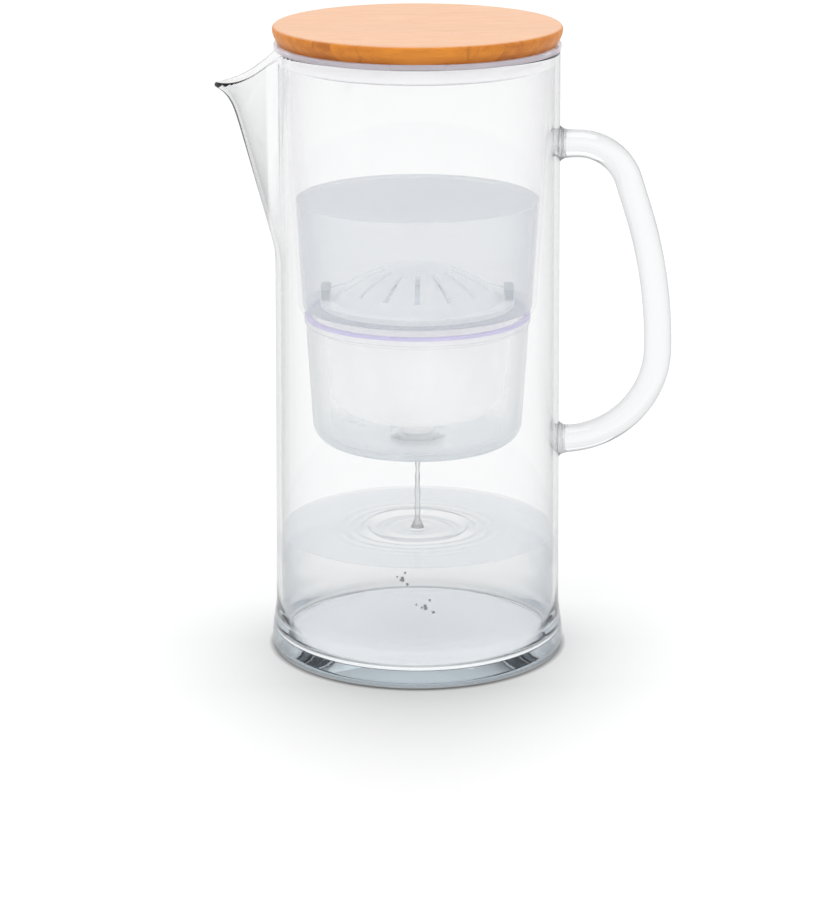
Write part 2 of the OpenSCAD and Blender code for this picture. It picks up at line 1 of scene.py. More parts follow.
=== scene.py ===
import bpy
import numpy as np
from bpy.props import FloatProperty, FloatVectorProperty, IntProperty, PointerProperty
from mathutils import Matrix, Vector


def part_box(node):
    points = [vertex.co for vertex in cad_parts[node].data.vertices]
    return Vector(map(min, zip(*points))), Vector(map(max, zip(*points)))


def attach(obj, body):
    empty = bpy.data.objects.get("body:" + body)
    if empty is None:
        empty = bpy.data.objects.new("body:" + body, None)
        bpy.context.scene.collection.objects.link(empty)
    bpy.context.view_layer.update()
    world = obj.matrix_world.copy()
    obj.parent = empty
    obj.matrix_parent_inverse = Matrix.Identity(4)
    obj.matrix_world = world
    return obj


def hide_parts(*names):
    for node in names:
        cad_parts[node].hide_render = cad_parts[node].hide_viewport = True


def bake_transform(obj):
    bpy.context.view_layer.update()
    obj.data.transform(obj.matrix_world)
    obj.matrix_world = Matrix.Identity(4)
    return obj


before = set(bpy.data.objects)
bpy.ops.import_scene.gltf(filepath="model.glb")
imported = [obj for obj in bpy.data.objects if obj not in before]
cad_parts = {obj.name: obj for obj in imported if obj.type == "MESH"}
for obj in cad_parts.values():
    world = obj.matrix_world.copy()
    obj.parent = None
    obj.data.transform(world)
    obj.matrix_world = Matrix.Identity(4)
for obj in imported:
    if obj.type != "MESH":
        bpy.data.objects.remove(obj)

bl_info = {
    "name": "Filter pitcher",
    "version": (1, 0, 0),
    "blender": (4, 5, 0),
    "location": "View3D > Sidebar > Pitcher",
    "description": "Dresses a glass filter pitcher: blown glass, frosted plastic, bamboo and water",
    "category": "Object",
}

MM = 0.001
TURN = 2 * np.pi
WHITE, BLACK = (1, 1, 1), (0, 0, 0)
# Most values of a noise lie between these two
NOISE_LOW, NOISE_HIGH = 0.3, 0.7
GLASS_IOR, PLASTIC_IOR, WATER_IOR = 1.47, 1.46, 1.33
# Colour of the shade painted along the outline of clear glass, of the stream and of the air bubbles
PAINTED_RIM_SHADE = (0.02, 0.025, 0.03)
# Room between two pieces that fit into each other, and between the water and the wall round it
PLAY = 0.1 * MM
WATER_GAP = 0.15 * MM
# How far the water climbs at a wall
MENISCUS = 0.8 * MM

# Corners of the CAD nodes that the sizes below start from
JUG_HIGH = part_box("glass_jug")[1]
ROD_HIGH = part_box("glass_handle")[1]
FUNNEL_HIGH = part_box("funnel_reservoir")[1]
GASKET_LOW, GASKET_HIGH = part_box("funnel_gasket")
CUP_LOW, CUP_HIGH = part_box("filter_cup")
RING_LOW, RING_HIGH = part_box("cup_seal")
SHELL_LOW, SHELL_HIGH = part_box("cartridge_shell")
LID_LOW, LID_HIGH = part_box("lid_disc")
PLUG_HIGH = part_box("lid_plug")[1]
LID_SEAL_LOW, LID_SEAL_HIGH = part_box("lid_seal")


def length(name, description, default, low=0.0, high=1.0):
    """A length property in metres."""
    return FloatProperty(
        name=name, description=description, default=default, min=low, max=high, precision=5, unit="LENGTH"
    )


def colour(name, description, default):
    """A colour property, linear red, green and blue."""
    return FloatVectorProperty(
        name=name, description=description, default=default, size=3, min=0.0, max=1.0, subtype="COLOR"
    )


def share(name, description, default, high=1.0):
    """A plain factor."""
    return FloatProperty(name=name, description=description, default=default, min=0.0, max=high)


class JugSizes(bpy.types.PropertyGroup):
    """Sizes of the glass jug and its rod handle"""

    rim_radius: length("Rim radius", "Outer radius of the glass at its rim", 63 * MM)
    wall_radius: length("Wall radius", "Outer radius just above the foot", 65 * MM)
    foot_height: length("Foot height", "Height up to which the foot flares", 24 * MM)
    foot_edge: length("Foot edge", "Radius of the foot's lower edge", 3 * MM)
    glass: length("Glass", "Thickness of the wall", 2.4 * MM)
    floor: length("Floor", "Thickness of the glass floor", 6 * MM)
    floor_corner: length("Floor corner", "Radius between the floor and the wall", 6 * MM)
    spout_low: length("Spout start", "Height at which the spout leaves the wall", 181 * MM)
    spout_slope: share("Spout slope", "How far the ridge leans out for each metre of height", 0.265)
    spout_curl: length("Spout curl", "How far the lip curls out past the straight ridge", 5.5 * MM)
    curl_height: length("Curl height", "Height over which the lip curls", 3.6 * MM)
    spout_dip: length("Spout dip", "Depth that the rim falls towards the tip", 17 * MM)
    dip_reach: length("Dip reach", "Reach over which the rim falls", 14.5 * MM)
    spout_angle: share("Spout half angle", "Half the angle that the spout takes up, in degrees", 21.0, 60.0)
    rod_radius: length("Rod radius", "Radius of the glass rod", 6.2 * MM)
    upper_weld: length("Upper weld", "Height of the upper weld's centre", 233.3 * MM)
    lower_weld: length("Lower weld", "Height of the lower weld's centre", 97 * MM)
    upper_bend: length("Upper bend", "Radius of the upper bend", 24 * MM)
    lower_bend: length("Lower bend", "Radius of the lower bend", 42.5 * MM)
    lean: share("Lean", "Lean of the upright, in degrees", 18.0, 60.0)
    upright: length("Upright", "Length of the straight stretch below the upper bend", 14 * MM)
    pad_radius: length("Pad radius", "Radius of the weld pads", 8.25 * MM)
    pad_length: length("Pad length", "Length over which the rod swells into its pad", 4.5 * MM)


class FunnelSizes(bpy.types.PropertyGroup):
    """Sizes of the funnel, its gasket and the filter cup"""

    wall: length("Wall", "Wall of the reservoir and the cup", 1.8 * MM)
    collar: length("Collar", "Thickness of the collar at the mouth", 2.8 * MM)
    collar_height: length("Collar height", "Height of the collar below the rim", 8 * MM)
    flange: length("Flange", "Thickness of the flange on the glass rim", 2.4 * MM)
    groove: length("Groove", "Depth of the gasket's groove", 1.1 * MM)
    notch_width: length("Notch width", "Width of the finger notch in the flange", 24 * MM)
    notch_depth: length("Notch depth", "Depth of the finger notch", 2.2 * MM)
    step_height: length("Step height", "Height of the step under the reservoir", 3.5 * MM)
    step_width: length("Step width", "Width of the step", 2.6 * MM)
    spigot: length("Spigot", "Length of the spigot inside the cup", 6 * MM)
    cup_draw_in: length("Cup draw-in", "How far the cup's side is drawn in towards its foot", 2.5 * MM)
    cup_lip: length("Cup lip", "How far the cup's rim stands out", 1 * MM)
    cup_lip_height: length("Cup lip height", "Height of the cup's rim", 2 * MM)
    cup_seat: length("Cup seat", "Height of the straight seat at the cup's top", 8 * MM)
    cup_corner: length("Cup corner", "Radius of the cup's bottom rounding", 9.5 * MM)
    cup_floor: length("Cup floor", "Thickness of the cup's floor", 2 * MM)
    socket_radius: length("Socket radius", "Outer radius of the cartridge's socket", 12.3 * MM)
    socket_bore: length("Socket bore", "Radius of the socket's bore", 8.6 * MM)
    socket_height: length("Socket height", "Height of the socket above the floor", 11 * MM)
    nozzle_hole: length("Nozzle hole", "Radius of the nozzle's hole in the floor", 7 * MM)


class CartridgeSizes(bpy.types.PropertyGroup):
    """Sizes of the cartridge's shell"""

    wall: length("Wall", "Wall of the shell", 1.6 * MM)
    draw_in: length("Draw-in", "How far the shell's side is drawn in towards its foot", 4.1 * MM)
    corner: length("Corner", "Radius of the shell's bottom rounding", 13 * MM)
    outlet: length("Outlet", "Outer radius of the outlet", 8.2 * MM)
    outlet_length: length("Outlet length", "Length of the outlet below the shell", 9 * MM)
    outlet_bore: length("Outlet bore", "Radius of the outlet's bore", 5.4 * MM)


class LidSizes(bpy.types.PropertyGroup):
    """Sizes of the bamboo disc"""

    undercut: length("Undercut", "How far the disc's lower edge is drawn in", 2.6 * MM)
    edge: length("Edge", "Radius of the disc's top edge", 1.6 * MM)
    strip: length("Strip", "Width of a bamboo strip", 6.5 * MM)
    # Painted light: the top's colour is paler, as lit with a sheen, and the side's darker, as in shade
    lit_top_tone: colour("Top", "Colour of the sanded top", (0.66, 0.39, 0.245))
    shaded_side_tone: colour("Side", "Colour of the oiled side", (0.62, 0.21, 0.025))
    dark_tone: colour("Dark fibre", "Colour of the darkest strips and of the end grain", (0.3, 0.1, 0.022))


class WaterSizes(bpy.types.PropertyGroup):
    """Levels of the water that stands in the funnel and in the jug"""

    upper_level: length("Upper level", "Height of the water in the funnel", 208 * MM)
    lower_level: length("Lower level", "Height of the water in the jug", 55 * MM)
    ripple: length("Ripple", "Height of the ring that spreads from the stream", 1.5 * MM)
    ripple_radius: length("Ripple radius", "Radius of that ring", 24 * MM)
    ripple_pitch: length("Ripple pitch", "Distance from one small ripple to the next", 5.5 * MM)
    stream_radius: length("Stream radius", "Radius of the falling stream", 1.1 * MM)
    tint: colour("Tint", "Colour of the water's body", (0.47, 0.52, 0.58))


class StageSizes(bpy.types.PropertyGroup):
    """Camera, lamps and floor"""

    distance: length("Distance", "Level distance from the jug's axis to the camera", 1.4, 0.1, 10.0)
    height: length("Height", "Height of the camera above the table", 0.499, 0.0, 10.0)
    tilt: share("Tilt", "How far the camera looks down, in degrees", 16.24, 90.0)
    focal: share("Focal length", "Focal length in millimetres on a 36 mm sensor", 127.6, 500.0)
    # The floor's shadow is painted into its colour
    shadow: share("Shadow", "Depth of the pitcher's soft shadow on the floor", 0.38)
    dark_light: share("Dark ceiling", "Brightness that glass shows of the room's dark ceiling", 0.05)
    world_light: share("World light", "Strength of the even light from all round", 0.95, 5.0)
    top_power: share("Top power", "Power of the wide lamp overhead in watts", 40.0, 200.0)
    lamp_power: share("Lamp power", "Power of the main soft lamp in watts", 1.6, 100.0)


class PitcherSettings(bpy.types.PropertyGroup):
    """All settings of the pitcher"""

    jug: PointerProperty(type=JugSizes)
    funnel: PointerProperty(type=FunnelSizes)
    cartridge: PointerProperty(type=CartridgeSizes)
    lid: PointerProperty(type=LidSizes)
    water: PointerProperty(type=WaterSizes)
    stage: PointerProperty(type=StageSizes)
    segments: IntProperty(name="Segments", description="Faces around a turned piece", default=160, min=24)


def settings():
    """The pitcher's settings in this scene."""
    return bpy.context.scene.pitcher


# Shapes


def arc(x, z, radius, start, end, steps=8):
    """Points at even angles from start to end, in degrees, on a circle about x, z."""
    angle = np.radians(np.linspace(start, end, steps + 1))
    return np.stack([x + radius * np.cos(angle), z + radius * np.sin(angle)], axis=1)


def path(*parts):
    """Joins points and arcs of a profile, and drops each point that repeats the one before it."""
    points = np.concatenate([np.atleast_2d(np.asarray(part, float)) for part in parts])
    gap = np.linalg.norm(np.diff(points, axis=0), axis=1)
    return points[np.concatenate([[True], gap > 1e-7])]


def softened(points, radius, steps=3, ring=True):
    """Cuts each corner of an outline by a parabola that starts and ends radius away from it, or less
    on a short edge: (1-t)^2 A + 2t(1-t) P + t^2 B, for all corners at once."""
    most = 0.45
    before = np.roll(points, 1, axis=0) - points
    after = np.roll(points, -1, axis=0) - points
    reach_before = np.linalg.norm(before, axis=1, keepdims=True)
    reach_after = np.linalg.norm(after, axis=1, keepdims=True)
    first = points + before / reach_before * np.minimum(radius, most * reach_before)
    last = points + after / reach_after * np.minimum(radius, most * reach_after)
    t = np.linspace(0, 1, steps + 1)[None, :, None]
    curve = (1 - t) ** 2 * first[:, None] + 2 * t * (1 - t) * points[:, None] + t**2 * last[:, None]
    curve = curve.reshape(-1, 2)
    if not ring:
        curve = np.concatenate([points[:1], curve[steps + 1:-steps - 1], points[-1:]])
    return path(curve)


def grid_faces(rows, columns, ring):
    """Four corners for each cell of a grid that closes around its columns, and around its rows if ring."""
    row, column = np.meshgrid(np.arange(rows if ring else rows - 1), np.arange(columns), indexing="ij")
    next_row, next_column = (row + 1) % rows, (column + 1) % columns
    cell = [
        row * columns + column, row * columns + next_column,
        next_row * columns + next_column, next_row * columns + column,
    ]
    return np.stack(cell, axis=-1).reshape(-1, 4)


def fan_faces(first, columns, pole, turned_over):
    """Triangles from one row of a grid to a pole."""
    column = np.arange(columns)
    cell = [first + column, first + (column + 1) % columns, np.full(columns, pole)]
    faces = np.stack(cell, axis=-1)
    return faces[:, ::-1] if turned_over else faces


def pole_fans(rows, columns):
    """The fans that close a grid at both ends, to two poles that follow its points."""
    count = rows * columns
    return [fan_faces(0, columns, count, True), fan_faces(count - columns, columns, count + 1, False)]


def signed_volume(points, faces):
    """Sum over all faces of a . (b x c) / 6, with each face cut into triangles from its first corner."""
    total = 0.0
    for k in range(1, faces.shape[1] - 1):
        a, b, c = points[faces[:, 0]], points[faces[:, k]], points[faces[:, k + 1]]
        total += np.einsum("ij,ij->i", a, np.cross(b, c)).sum() / 6
    return total


def new_mesh(name, points, face_sets, sharp_angle=35.0):
    """Puts whole arrays of points and faces into a smooth mesh whose faces point outwards."""
    if sum(signed_volume(points, faces) for faces in face_sets) < 0:
        face_sets = [faces[:, ::-1] for faces in face_sets]
    mesh = bpy.data.meshes.new(name)
    loops = np.concatenate([faces.ravel() for faces in face_sets])
    counts = np.concatenate([np.full(len(faces), faces.shape[1]) for faces in face_sets])
    mesh.vertices.add(len(points))
    mesh.vertices.foreach_set("co", points.astype(np.float32).ravel())
    mesh.loops.add(len(loops))
    mesh.loops.foreach_set("vertex_index", loops.astype(np.int32))
    mesh.polygons.add(len(counts))
    mesh.polygons.foreach_set("loop_start", (np.cumsum(counts) - counts).astype(np.int32))
    mesh.update(calc_edges=True)
    mesh.validate()
    mesh.shade_smooth()
    mesh.set_sharp_from_angle(angle=np.radians(sharp_angle))
    return mesh


def new_object(name, mesh, material):
    """Links a mesh to the scene with its material."""
    piece = bpy.data.objects.new(name, mesh)
    bpy.context.scene.collection.objects.link(piece)
    mesh.materials.append(material)
    return piece


def close_grid(name, grid, material, ring, sharp_angle=35.0):
    """A grid of rows by columns as a closed piece: a ring of rows, or rows between two poles, where
    the first and the last row are each a single point repeated."""
    body = grid if ring else grid[1:-1]
    rows, columns = body.shape[:2]
    points, face_sets = body.reshape(-1, 3), [grid_faces(rows, columns, ring)]
    if not ring:
        points = np.concatenate([points, grid[0, :1], grid[-1, :1]])
        face_sets += pole_fans(rows, columns)
    return new_object(name, new_mesh(name, points, face_sets, sharp_angle), material)


def balls(centres, radii, sides=12):
    """Points and faces of small balls: r (cos u sin v, sin u sin v, cos v) round each centre."""
    rows = sides // 2 - 1
    tilt = np.linspace(0, np.pi, rows + 2)[1:-1]
    unit = turned(np.stack([np.sin(tilt), np.cos(tilt)], axis=1), even_turn(sides)).reshape(-1, 3)
    unit = np.concatenate([unit, [[0, 0, 1], [0, 0, -1]]])
    points = centres[:, None] + radii[:, None, None] * unit
    first_of_each = (np.arange(len(centres)) * len(unit))[:, None, None]
    face_sets = [
        (faces + first_of_each).reshape(-1, faces.shape[1])
        for faces in [grid_faces(rows, sides, False), *pole_fans(rows, sides)]
    ]
    return points.reshape(-1, 3), face_sets


def turned(profile, angles):
    """A profile of radius r and height z carried round the axis: (r cos u, r sin u, z)."""
    radius, height = profile[:, :1], profile[:, 1:]
    return np.stack(
        [radius * np.cos(angles), radius * np.sin(angles), height * np.ones_like(angles)], axis=-1
    )


def even_turn(count=None):
    """Even angles all round, without the last one, which is the first again."""
    return np.linspace(0, TURN, count or settings().segments, endpoint=False)


def turned_piece(name, profile, material, ring=True, sharp_angle=35.0):
    """A piece of revolution, as a ring with a closed profile or as a body from pole to pole."""
    return close_grid(name, turned(profile, even_turn()), material, ring, sharp_angle)


def dress(piece, body, nodes):
    """The piece rides on a body and stands for CAD nodes, which it hides."""
    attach(piece, body)
    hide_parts(*nodes)


def dress_band(name, corners, radius, material, body, node):
    """Dresses a CAD ring with a turned band, from the corners of its outline and their radius."""
    outline = softened(np.array(corners), radius)
    dress(turned_piece(name, outline, material), body, [node])


# Materials


def add(tree, kind, inputs=None, **values):
    """A shader node with its settings, and its inputs set to numbers or linked to sockets."""
    node = tree.nodes.new("ShaderNode" + kind)
    for key, value in values.items():
        setattr(node, key, value)
    for key, value in (inputs or {}).items():
        socket = node.inputs[key]
        if isinstance(value, bpy.types.NodeSocket):
            tree.links.new(value, socket)
        else:
            socket.default_value = (*value, 1.0) if socket.type == "RGBA" else value
    return node


def math(tree, operation, a, b=0.0, clamp=False):
    """One step of arithmetic."""
    return add(tree, "Math", {0: a, 1: b}, operation=operation, use_clamp=clamp).outputs[0]


def ranged(tree, value, low, high, to_low=0.0, to_high=1.0):
    """Maps low..high to to_low..to_high, clamped."""
    inputs = {"Value": value, "From Min": low, "From Max": high, "To Min": to_low, "To Max": to_high}
    return add(tree, "MapRange", inputs).outputs[0]


def blended(tree, factor, a, b, mode="MIX"):
    """Mixes two colours."""
    return add(tree, "Mix", {0: factor, 6: a, 7: b}, data_type="RGBA", blend_type=mode).outputs[2]


def placed(tree, scale=(1, 1, 1)):
    """Object coordinates, scaled."""
    place = add(tree, "TexCoord").outputs["Object"]
    return add(tree, "Mapping", {"Vector": place, "Scale": scale}).outputs[0]


def place_axes(tree):
    """Object coordinates one by one, by the names X, Y and Z."""
    return add(tree, "SeparateXYZ", {0: add(tree, "TexCoord").outputs["Object"]}).outputs


def normal_axes(tree):
    """How far the surface points along X, Y and Z."""
    return add(tree, "SeparateXYZ", {0: add(tree, "NewGeometry").outputs["Normal"]}).outputs


def turned_away(tree):
    """How far the surface turns away from the eye: 0 where it faces it, 1 at the outline."""
    return add(tree, "LayerWeight", {"Blend": 0.5}).outputs["Facing"]


def noise(tree, vector, scale, detail=3.0, roughness=0.5):
    """Noise between 0 and 1."""
    inputs = {"Vector": vector, "Scale": scale, "Detail": detail, "Roughness": roughness}
    return add(tree, "TexNoise", inputs).outputs["Fac"]


def bumped(tree, height, strength, distance):
    """A normal from a height."""
    inputs = {"Height": height, "Strength": strength, "Distance": distance}
    return add(tree, "Bump", inputs).outputs["Normal"]


def new_group(name, inputs, outputs):
    """An empty node group with named float inputs and outputs, and its two end nodes."""
    tree = bpy.data.node_groups.new(name, "ShaderNodeTree")
    for title, default in inputs:
        socket = tree.interface.new_socket(title, in_out="INPUT", socket_type="NodeSocketFloat")
        socket.default_value = default
    for title in outputs:
        tree.interface.new_socket(title, in_out="OUTPUT", socket_type="NodeSocketFloat")
    return tree, tree.nodes.new("NodeGroupInput").outputs, tree.nodes.new("NodeGroupOutput").inputs


def glass_flow(name):
    """Long soft waves along the axis, as drawn glass has, and faint smears on its surface."""
    tree, given, end = new_group(name, [("Wave Scale", 18.0), ("Smear", 0.02)], ["Height", "Roughness"])
    waves = noise(tree, placed(tree, (1, 1, 0.25)), given["Wave Scale"], 1.5)
    smears = noise(tree, placed(tree, (1, 1, 0.5)), 55.0, 6.0, 0.6)
    tree.links.new(waves, end["Height"])
    smeared = math(tree, "MULTIPLY", ranged(tree, smears, 0.5, 0.72), given["Smear"])
    tree.links.new(smeared, end["Roughness"])
    return tree


def moulded_grain(name):
    """Fine grain of moulded plastic and rubber: a mask for haze and a height for the bump."""
    tree, given, end = new_group(name, [("Grain Scale", 900.0), ("Flow Scale", 30.0)], ["Haze", "Height"])
    grain = noise(tree, placed(tree), given["Grain Scale"], 3.0, 0.6)
    flow = noise(tree, placed(tree, (1, 1, 0.35)), given["Flow Scale"], 4.0, 0.55)
    tree.links.new(flow, end["Haze"])
    tree.links.new(math(tree, "ADD", math(tree, "MULTIPLY", grain, 0.5), flow), end["Height"])
    return tree


def round_granules(name):
    """Round granules: a random value for each cell, a mask of the gaps between cells, where shade is
    painted, and a height.
    """
    tree, given, end = new_group(name, [("Granule Scale", 700.0)], ["Tone", "Gap", "Height"])
    cells = add(tree, "TexVoronoi", {"Vector": placed(tree), "Scale": given["Granule Scale"]}).outputs
    tone = add(tree, "SeparateColor", {"Color": cells["Color"]}).outputs[0]
    tree.links.new(tone, end["Tone"])
    tree.links.new(ranged(tree, cells["Distance"], 0.35, 0.75), end["Gap"])
    tree.links.new(math(tree, "SUBTRACT", 1.0, cells["Distance"]), end["Height"])
    return tree


GROUPS = {"Glass Flow": glass_flow, "Moulded Grain": moulded_grain, "Granules": round_granules}


def use_group(tree, name, **values):
    """The outputs of a node group, which is made the first time, placed in a material with its own
    values, given with _ for a space."""
    node = add(tree, "Group", node_tree=bpy.data.node_groups.get(name) or GROUPS[name](name))
    for key, value in values.items():
        node.inputs[key.replace("_", " ")].default_value = value
    return node.outputs


def new_material(name):
    """An empty node material, and its nodes."""
    material = bpy.data.materials.new(name)
    material.use_nodes = True
    material.node_tree.nodes.clear()
    return material, material.node_tree


def shown(material, surface, **others):
    """The material with a shader linked to its output."""
    add(material.node_tree, "OutputMaterial", {"Surface": surface, **others})
    return material


def coated(material, inputs):
    """The material with a Principled surface that has these inputs."""
    return shown(material, add(material.node_tree, "BsdfPrincipled", inputs).outputs[0])


def by_height(clear, full):
    """Draws a mask that grows from 0 to 1 between two heights."""
    return lambda tree: ranged(tree, place_axes(tree)["Z"], clear, full)


def cap_grips(tree):
    """Draws a mask over the two grips: above the cap's rim and away from its dome."""
    axes, rim = place_axes(tree), SHELL_HIGH.z + 3 * MM
    out = ranged(tree, math(tree, "ABSOLUTE", axes["X"]), 38 * MM, 39.5 * MM)
    return math(tree, "MULTIPLY", out, ranged(tree, axes["Z"], rim, rim + 1 * MM))


def jug_outline_shade(tree, away):
    """Draws the shade painted along the jug's outline, a power of how far it turns away: broad on the
    spout, mild at the spout's tip, and broadest where the side of the solid foot stands upright."""
    x, wall = place_axes(tree)["X"], settings().jug.wall_radius
    power = ranged(tree, x, -wall - 1.5 * MM, -wall - 0.3 * MM, 1.4, 4.0)
    tip = ranged(tree, x, -87 * MM, -80 * MM, 0.4, 1.0)
    line = math(tree, "MULTIPLY", math(tree, "POWER", away, power), tip)
    low = by_height(12 * MM, 4.8 * MM)(tree)
    low = math(tree, "MULTIPLY", low, math(tree, "POWER", away, 1.1))
    upright = ranged(tree, math(tree, "ABSOLUTE", normal_axes(tree)["Z"]), 0.5, 0.8, 1.0, 0.0)
    return math(tree, "MAXIMUM", line, math(tree, "MULTIPLY", low, upright))


def rod_outline_shade(tree, away):
    """Draws the shade painted along the rod's outline: the square of how far it turns away."""
    return math(tree, "POWER", away, 2.0)


def clear_glass(name, outline_shade_colour, wave_scale, draw_outline_shade):
    """Clear drawn glass. Lamps pass it by the shadow ray, shade is painted along its outline, and its body
    takes up light with its depth."""
    material, tree = new_material(name)
    flow = use_group(tree, "Glass Flow", Wave_Scale=wave_scale, Smear=0.012)
    outline = draw_outline_shade(tree, turned_away(tree))
    glass = add(tree, "BsdfPrincipled", {
        # Painted shade: the base colour turns to the outline colour as the surface turns away
        "Base Color": blended(tree, outline, WHITE, outline_shade_colour), "IOR": GLASS_IOR,
        "Roughness": flow["Roughness"], "Transmission Weight": 1.0,
        "Normal": bumped(tree, flow["Height"], 0.12, 0.6 * MM),
    })
    through = add(tree, "BsdfTransparent", {"Color": (0.95, 0.95, 0.95)})
    rays = add(tree, "LightPath").outputs
    passing = math(tree, "MAXIMUM", rays["Is Shadow Ray"], rays["Is Diffuse Ray"])
    mix = add(tree, "MixShader", {0: passing, 1: glass.outputs[0], 2: through.outputs[0]})
    depth = add(tree, "VolumeAbsorption", {"Color": (0.6, 0.68, 0.73), "Density": 12.0})
    return shown(material, mix.outputs[0], Volume=depth.outputs[0])


def veiled_plastic(
    name, tint, veil, edge, roughness, haze_range=0.1, edge_power=2.5, painted_edge_tint=None, zone=None, glow=0.0
):
    """Thin see-through plastic: a veil that grows towards the edges and varies with the moulding's flow.
    An edge tint paints shade towards the outline. A zone, as a function that draws its mask, its colour
    and its veil, gives part of the surface another tone. The glow is painted light."""
    material, tree = new_material(name)
    grain = use_group(tree, "Moulded Grain")
    haze = ranged(tree, grain["Haze"], NOISE_LOW, NOISE_HIGH, 1 - haze_range, 1 + haze_range)
    grazing = math(tree, "POWER", turned_away(tree), edge_power)
    rim = math(tree, "MULTIPLY", grazing, edge)
    alpha = math(tree, "ADD", math(tree, "MULTIPLY", haze, veil), rim, clamp=True)
    # Painted shade: the colour turns to the edge tint towards the outline
    if painted_edge_tint:
        tint = blended(tree, math(tree, "POWER", grazing, 0.5), tint, painted_edge_tint)
    if zone:
        draw_mask, zone_tint, zone_veil = zone
        mask = draw_mask(tree)
        tint = blended(tree, mask, tint, zone_tint)
        alpha = math(tree, "ADD", alpha, math(tree, "MULTIPLY", mask, zone_veil), clamp=True)
    return coated(material, {
        "Base Color": tint, "Alpha": alpha, "IOR": PLASTIC_IOR,
        # Painted light: the glow makes the plastic give off light, though it is no lamp
        "Emission Color": WHITE, "Emission Strength": glow,
        "Roughness": math(tree, "MULTIPLY", haze, roughness),
        "Normal": bumped(tree, grain["Height"], 0.15, 0.1 * MM),
    })


def solid_plastic(name, tint, roughness, alpha=1.0, grain_scale=900.0, tone=0.06, glow=0.0):
    """Moulded plastic, silicone or rubber with a fine grain and a slight flow in its tone, and a painted
    glow.
    """
    material, tree = new_material(name)
    grain = use_group(tree, "Moulded Grain", Grain_Scale=grain_scale)
    dark = tuple(value * (1 - 2 * tone) for value in tint)
    shade = ranged(tree, grain["Haze"], NOISE_LOW, NOISE_HIGH)
    return coated(material, {
        "Base Color": blended(tree, shade, dark, tint), "Alpha": alpha, "IOR": PLASTIC_IOR,
        # Painted light: the glow makes the plastic give off light, though it is no lamp
        "Emission Color": WHITE, "Emission Strength": glow,
        "Roughness": ranged(tree, grain["Haze"], NOISE_LOW, NOISE_HIGH, roughness * 0.85, roughness * 1.15),
        "Normal": bumped(tree, grain["Height"], 0.25, 0.1 * MM),
    })


def granular(name, light, dark, gap, scale, roughness):
    """A bed of granules, with their own tones and painted shade in the gaps between them."""
    material, tree = new_material(name)
    cells = use_group(tree, "Granules", Granule_Scale=scale)
    tone = blended(tree, cells["Tone"], dark, light)
    return coated(material, {
        "Base Color": blended(tree, cells["Gap"], tone, gap), "Roughness": roughness,
        "Normal": bumped(tree, cells["Height"], 0.8, 0.6 * MM),
    })


def felt(name, tint, shadow, glow):
    """Needled fleece: crossing hairs from two stretched noises, with painted shade between them and a
    painted glow.
    """
    material, tree = new_material(name)
    first = noise(tree, placed(tree, (1, 0.12, 1)), 1500.0, 3.0, 0.7)
    second = noise(tree, placed(tree, (0.12, 1, 1)), 1300.0, 3.0, 0.7)
    hairs = math(tree, "MAXIMUM", first, second)
    return coated(material, {
        "Base Color": blended(tree, ranged(tree, hairs, 0.4, 0.7), shadow, tint),
        "Roughness": 0.95, "Normal": bumped(tree, hairs, 0.7, 0.3 * MM),
        # Painted light: the glow makes the fleece give off light, though it is no lamp
        "Emission Color": WHITE, "Emission Strength": glow,
    })


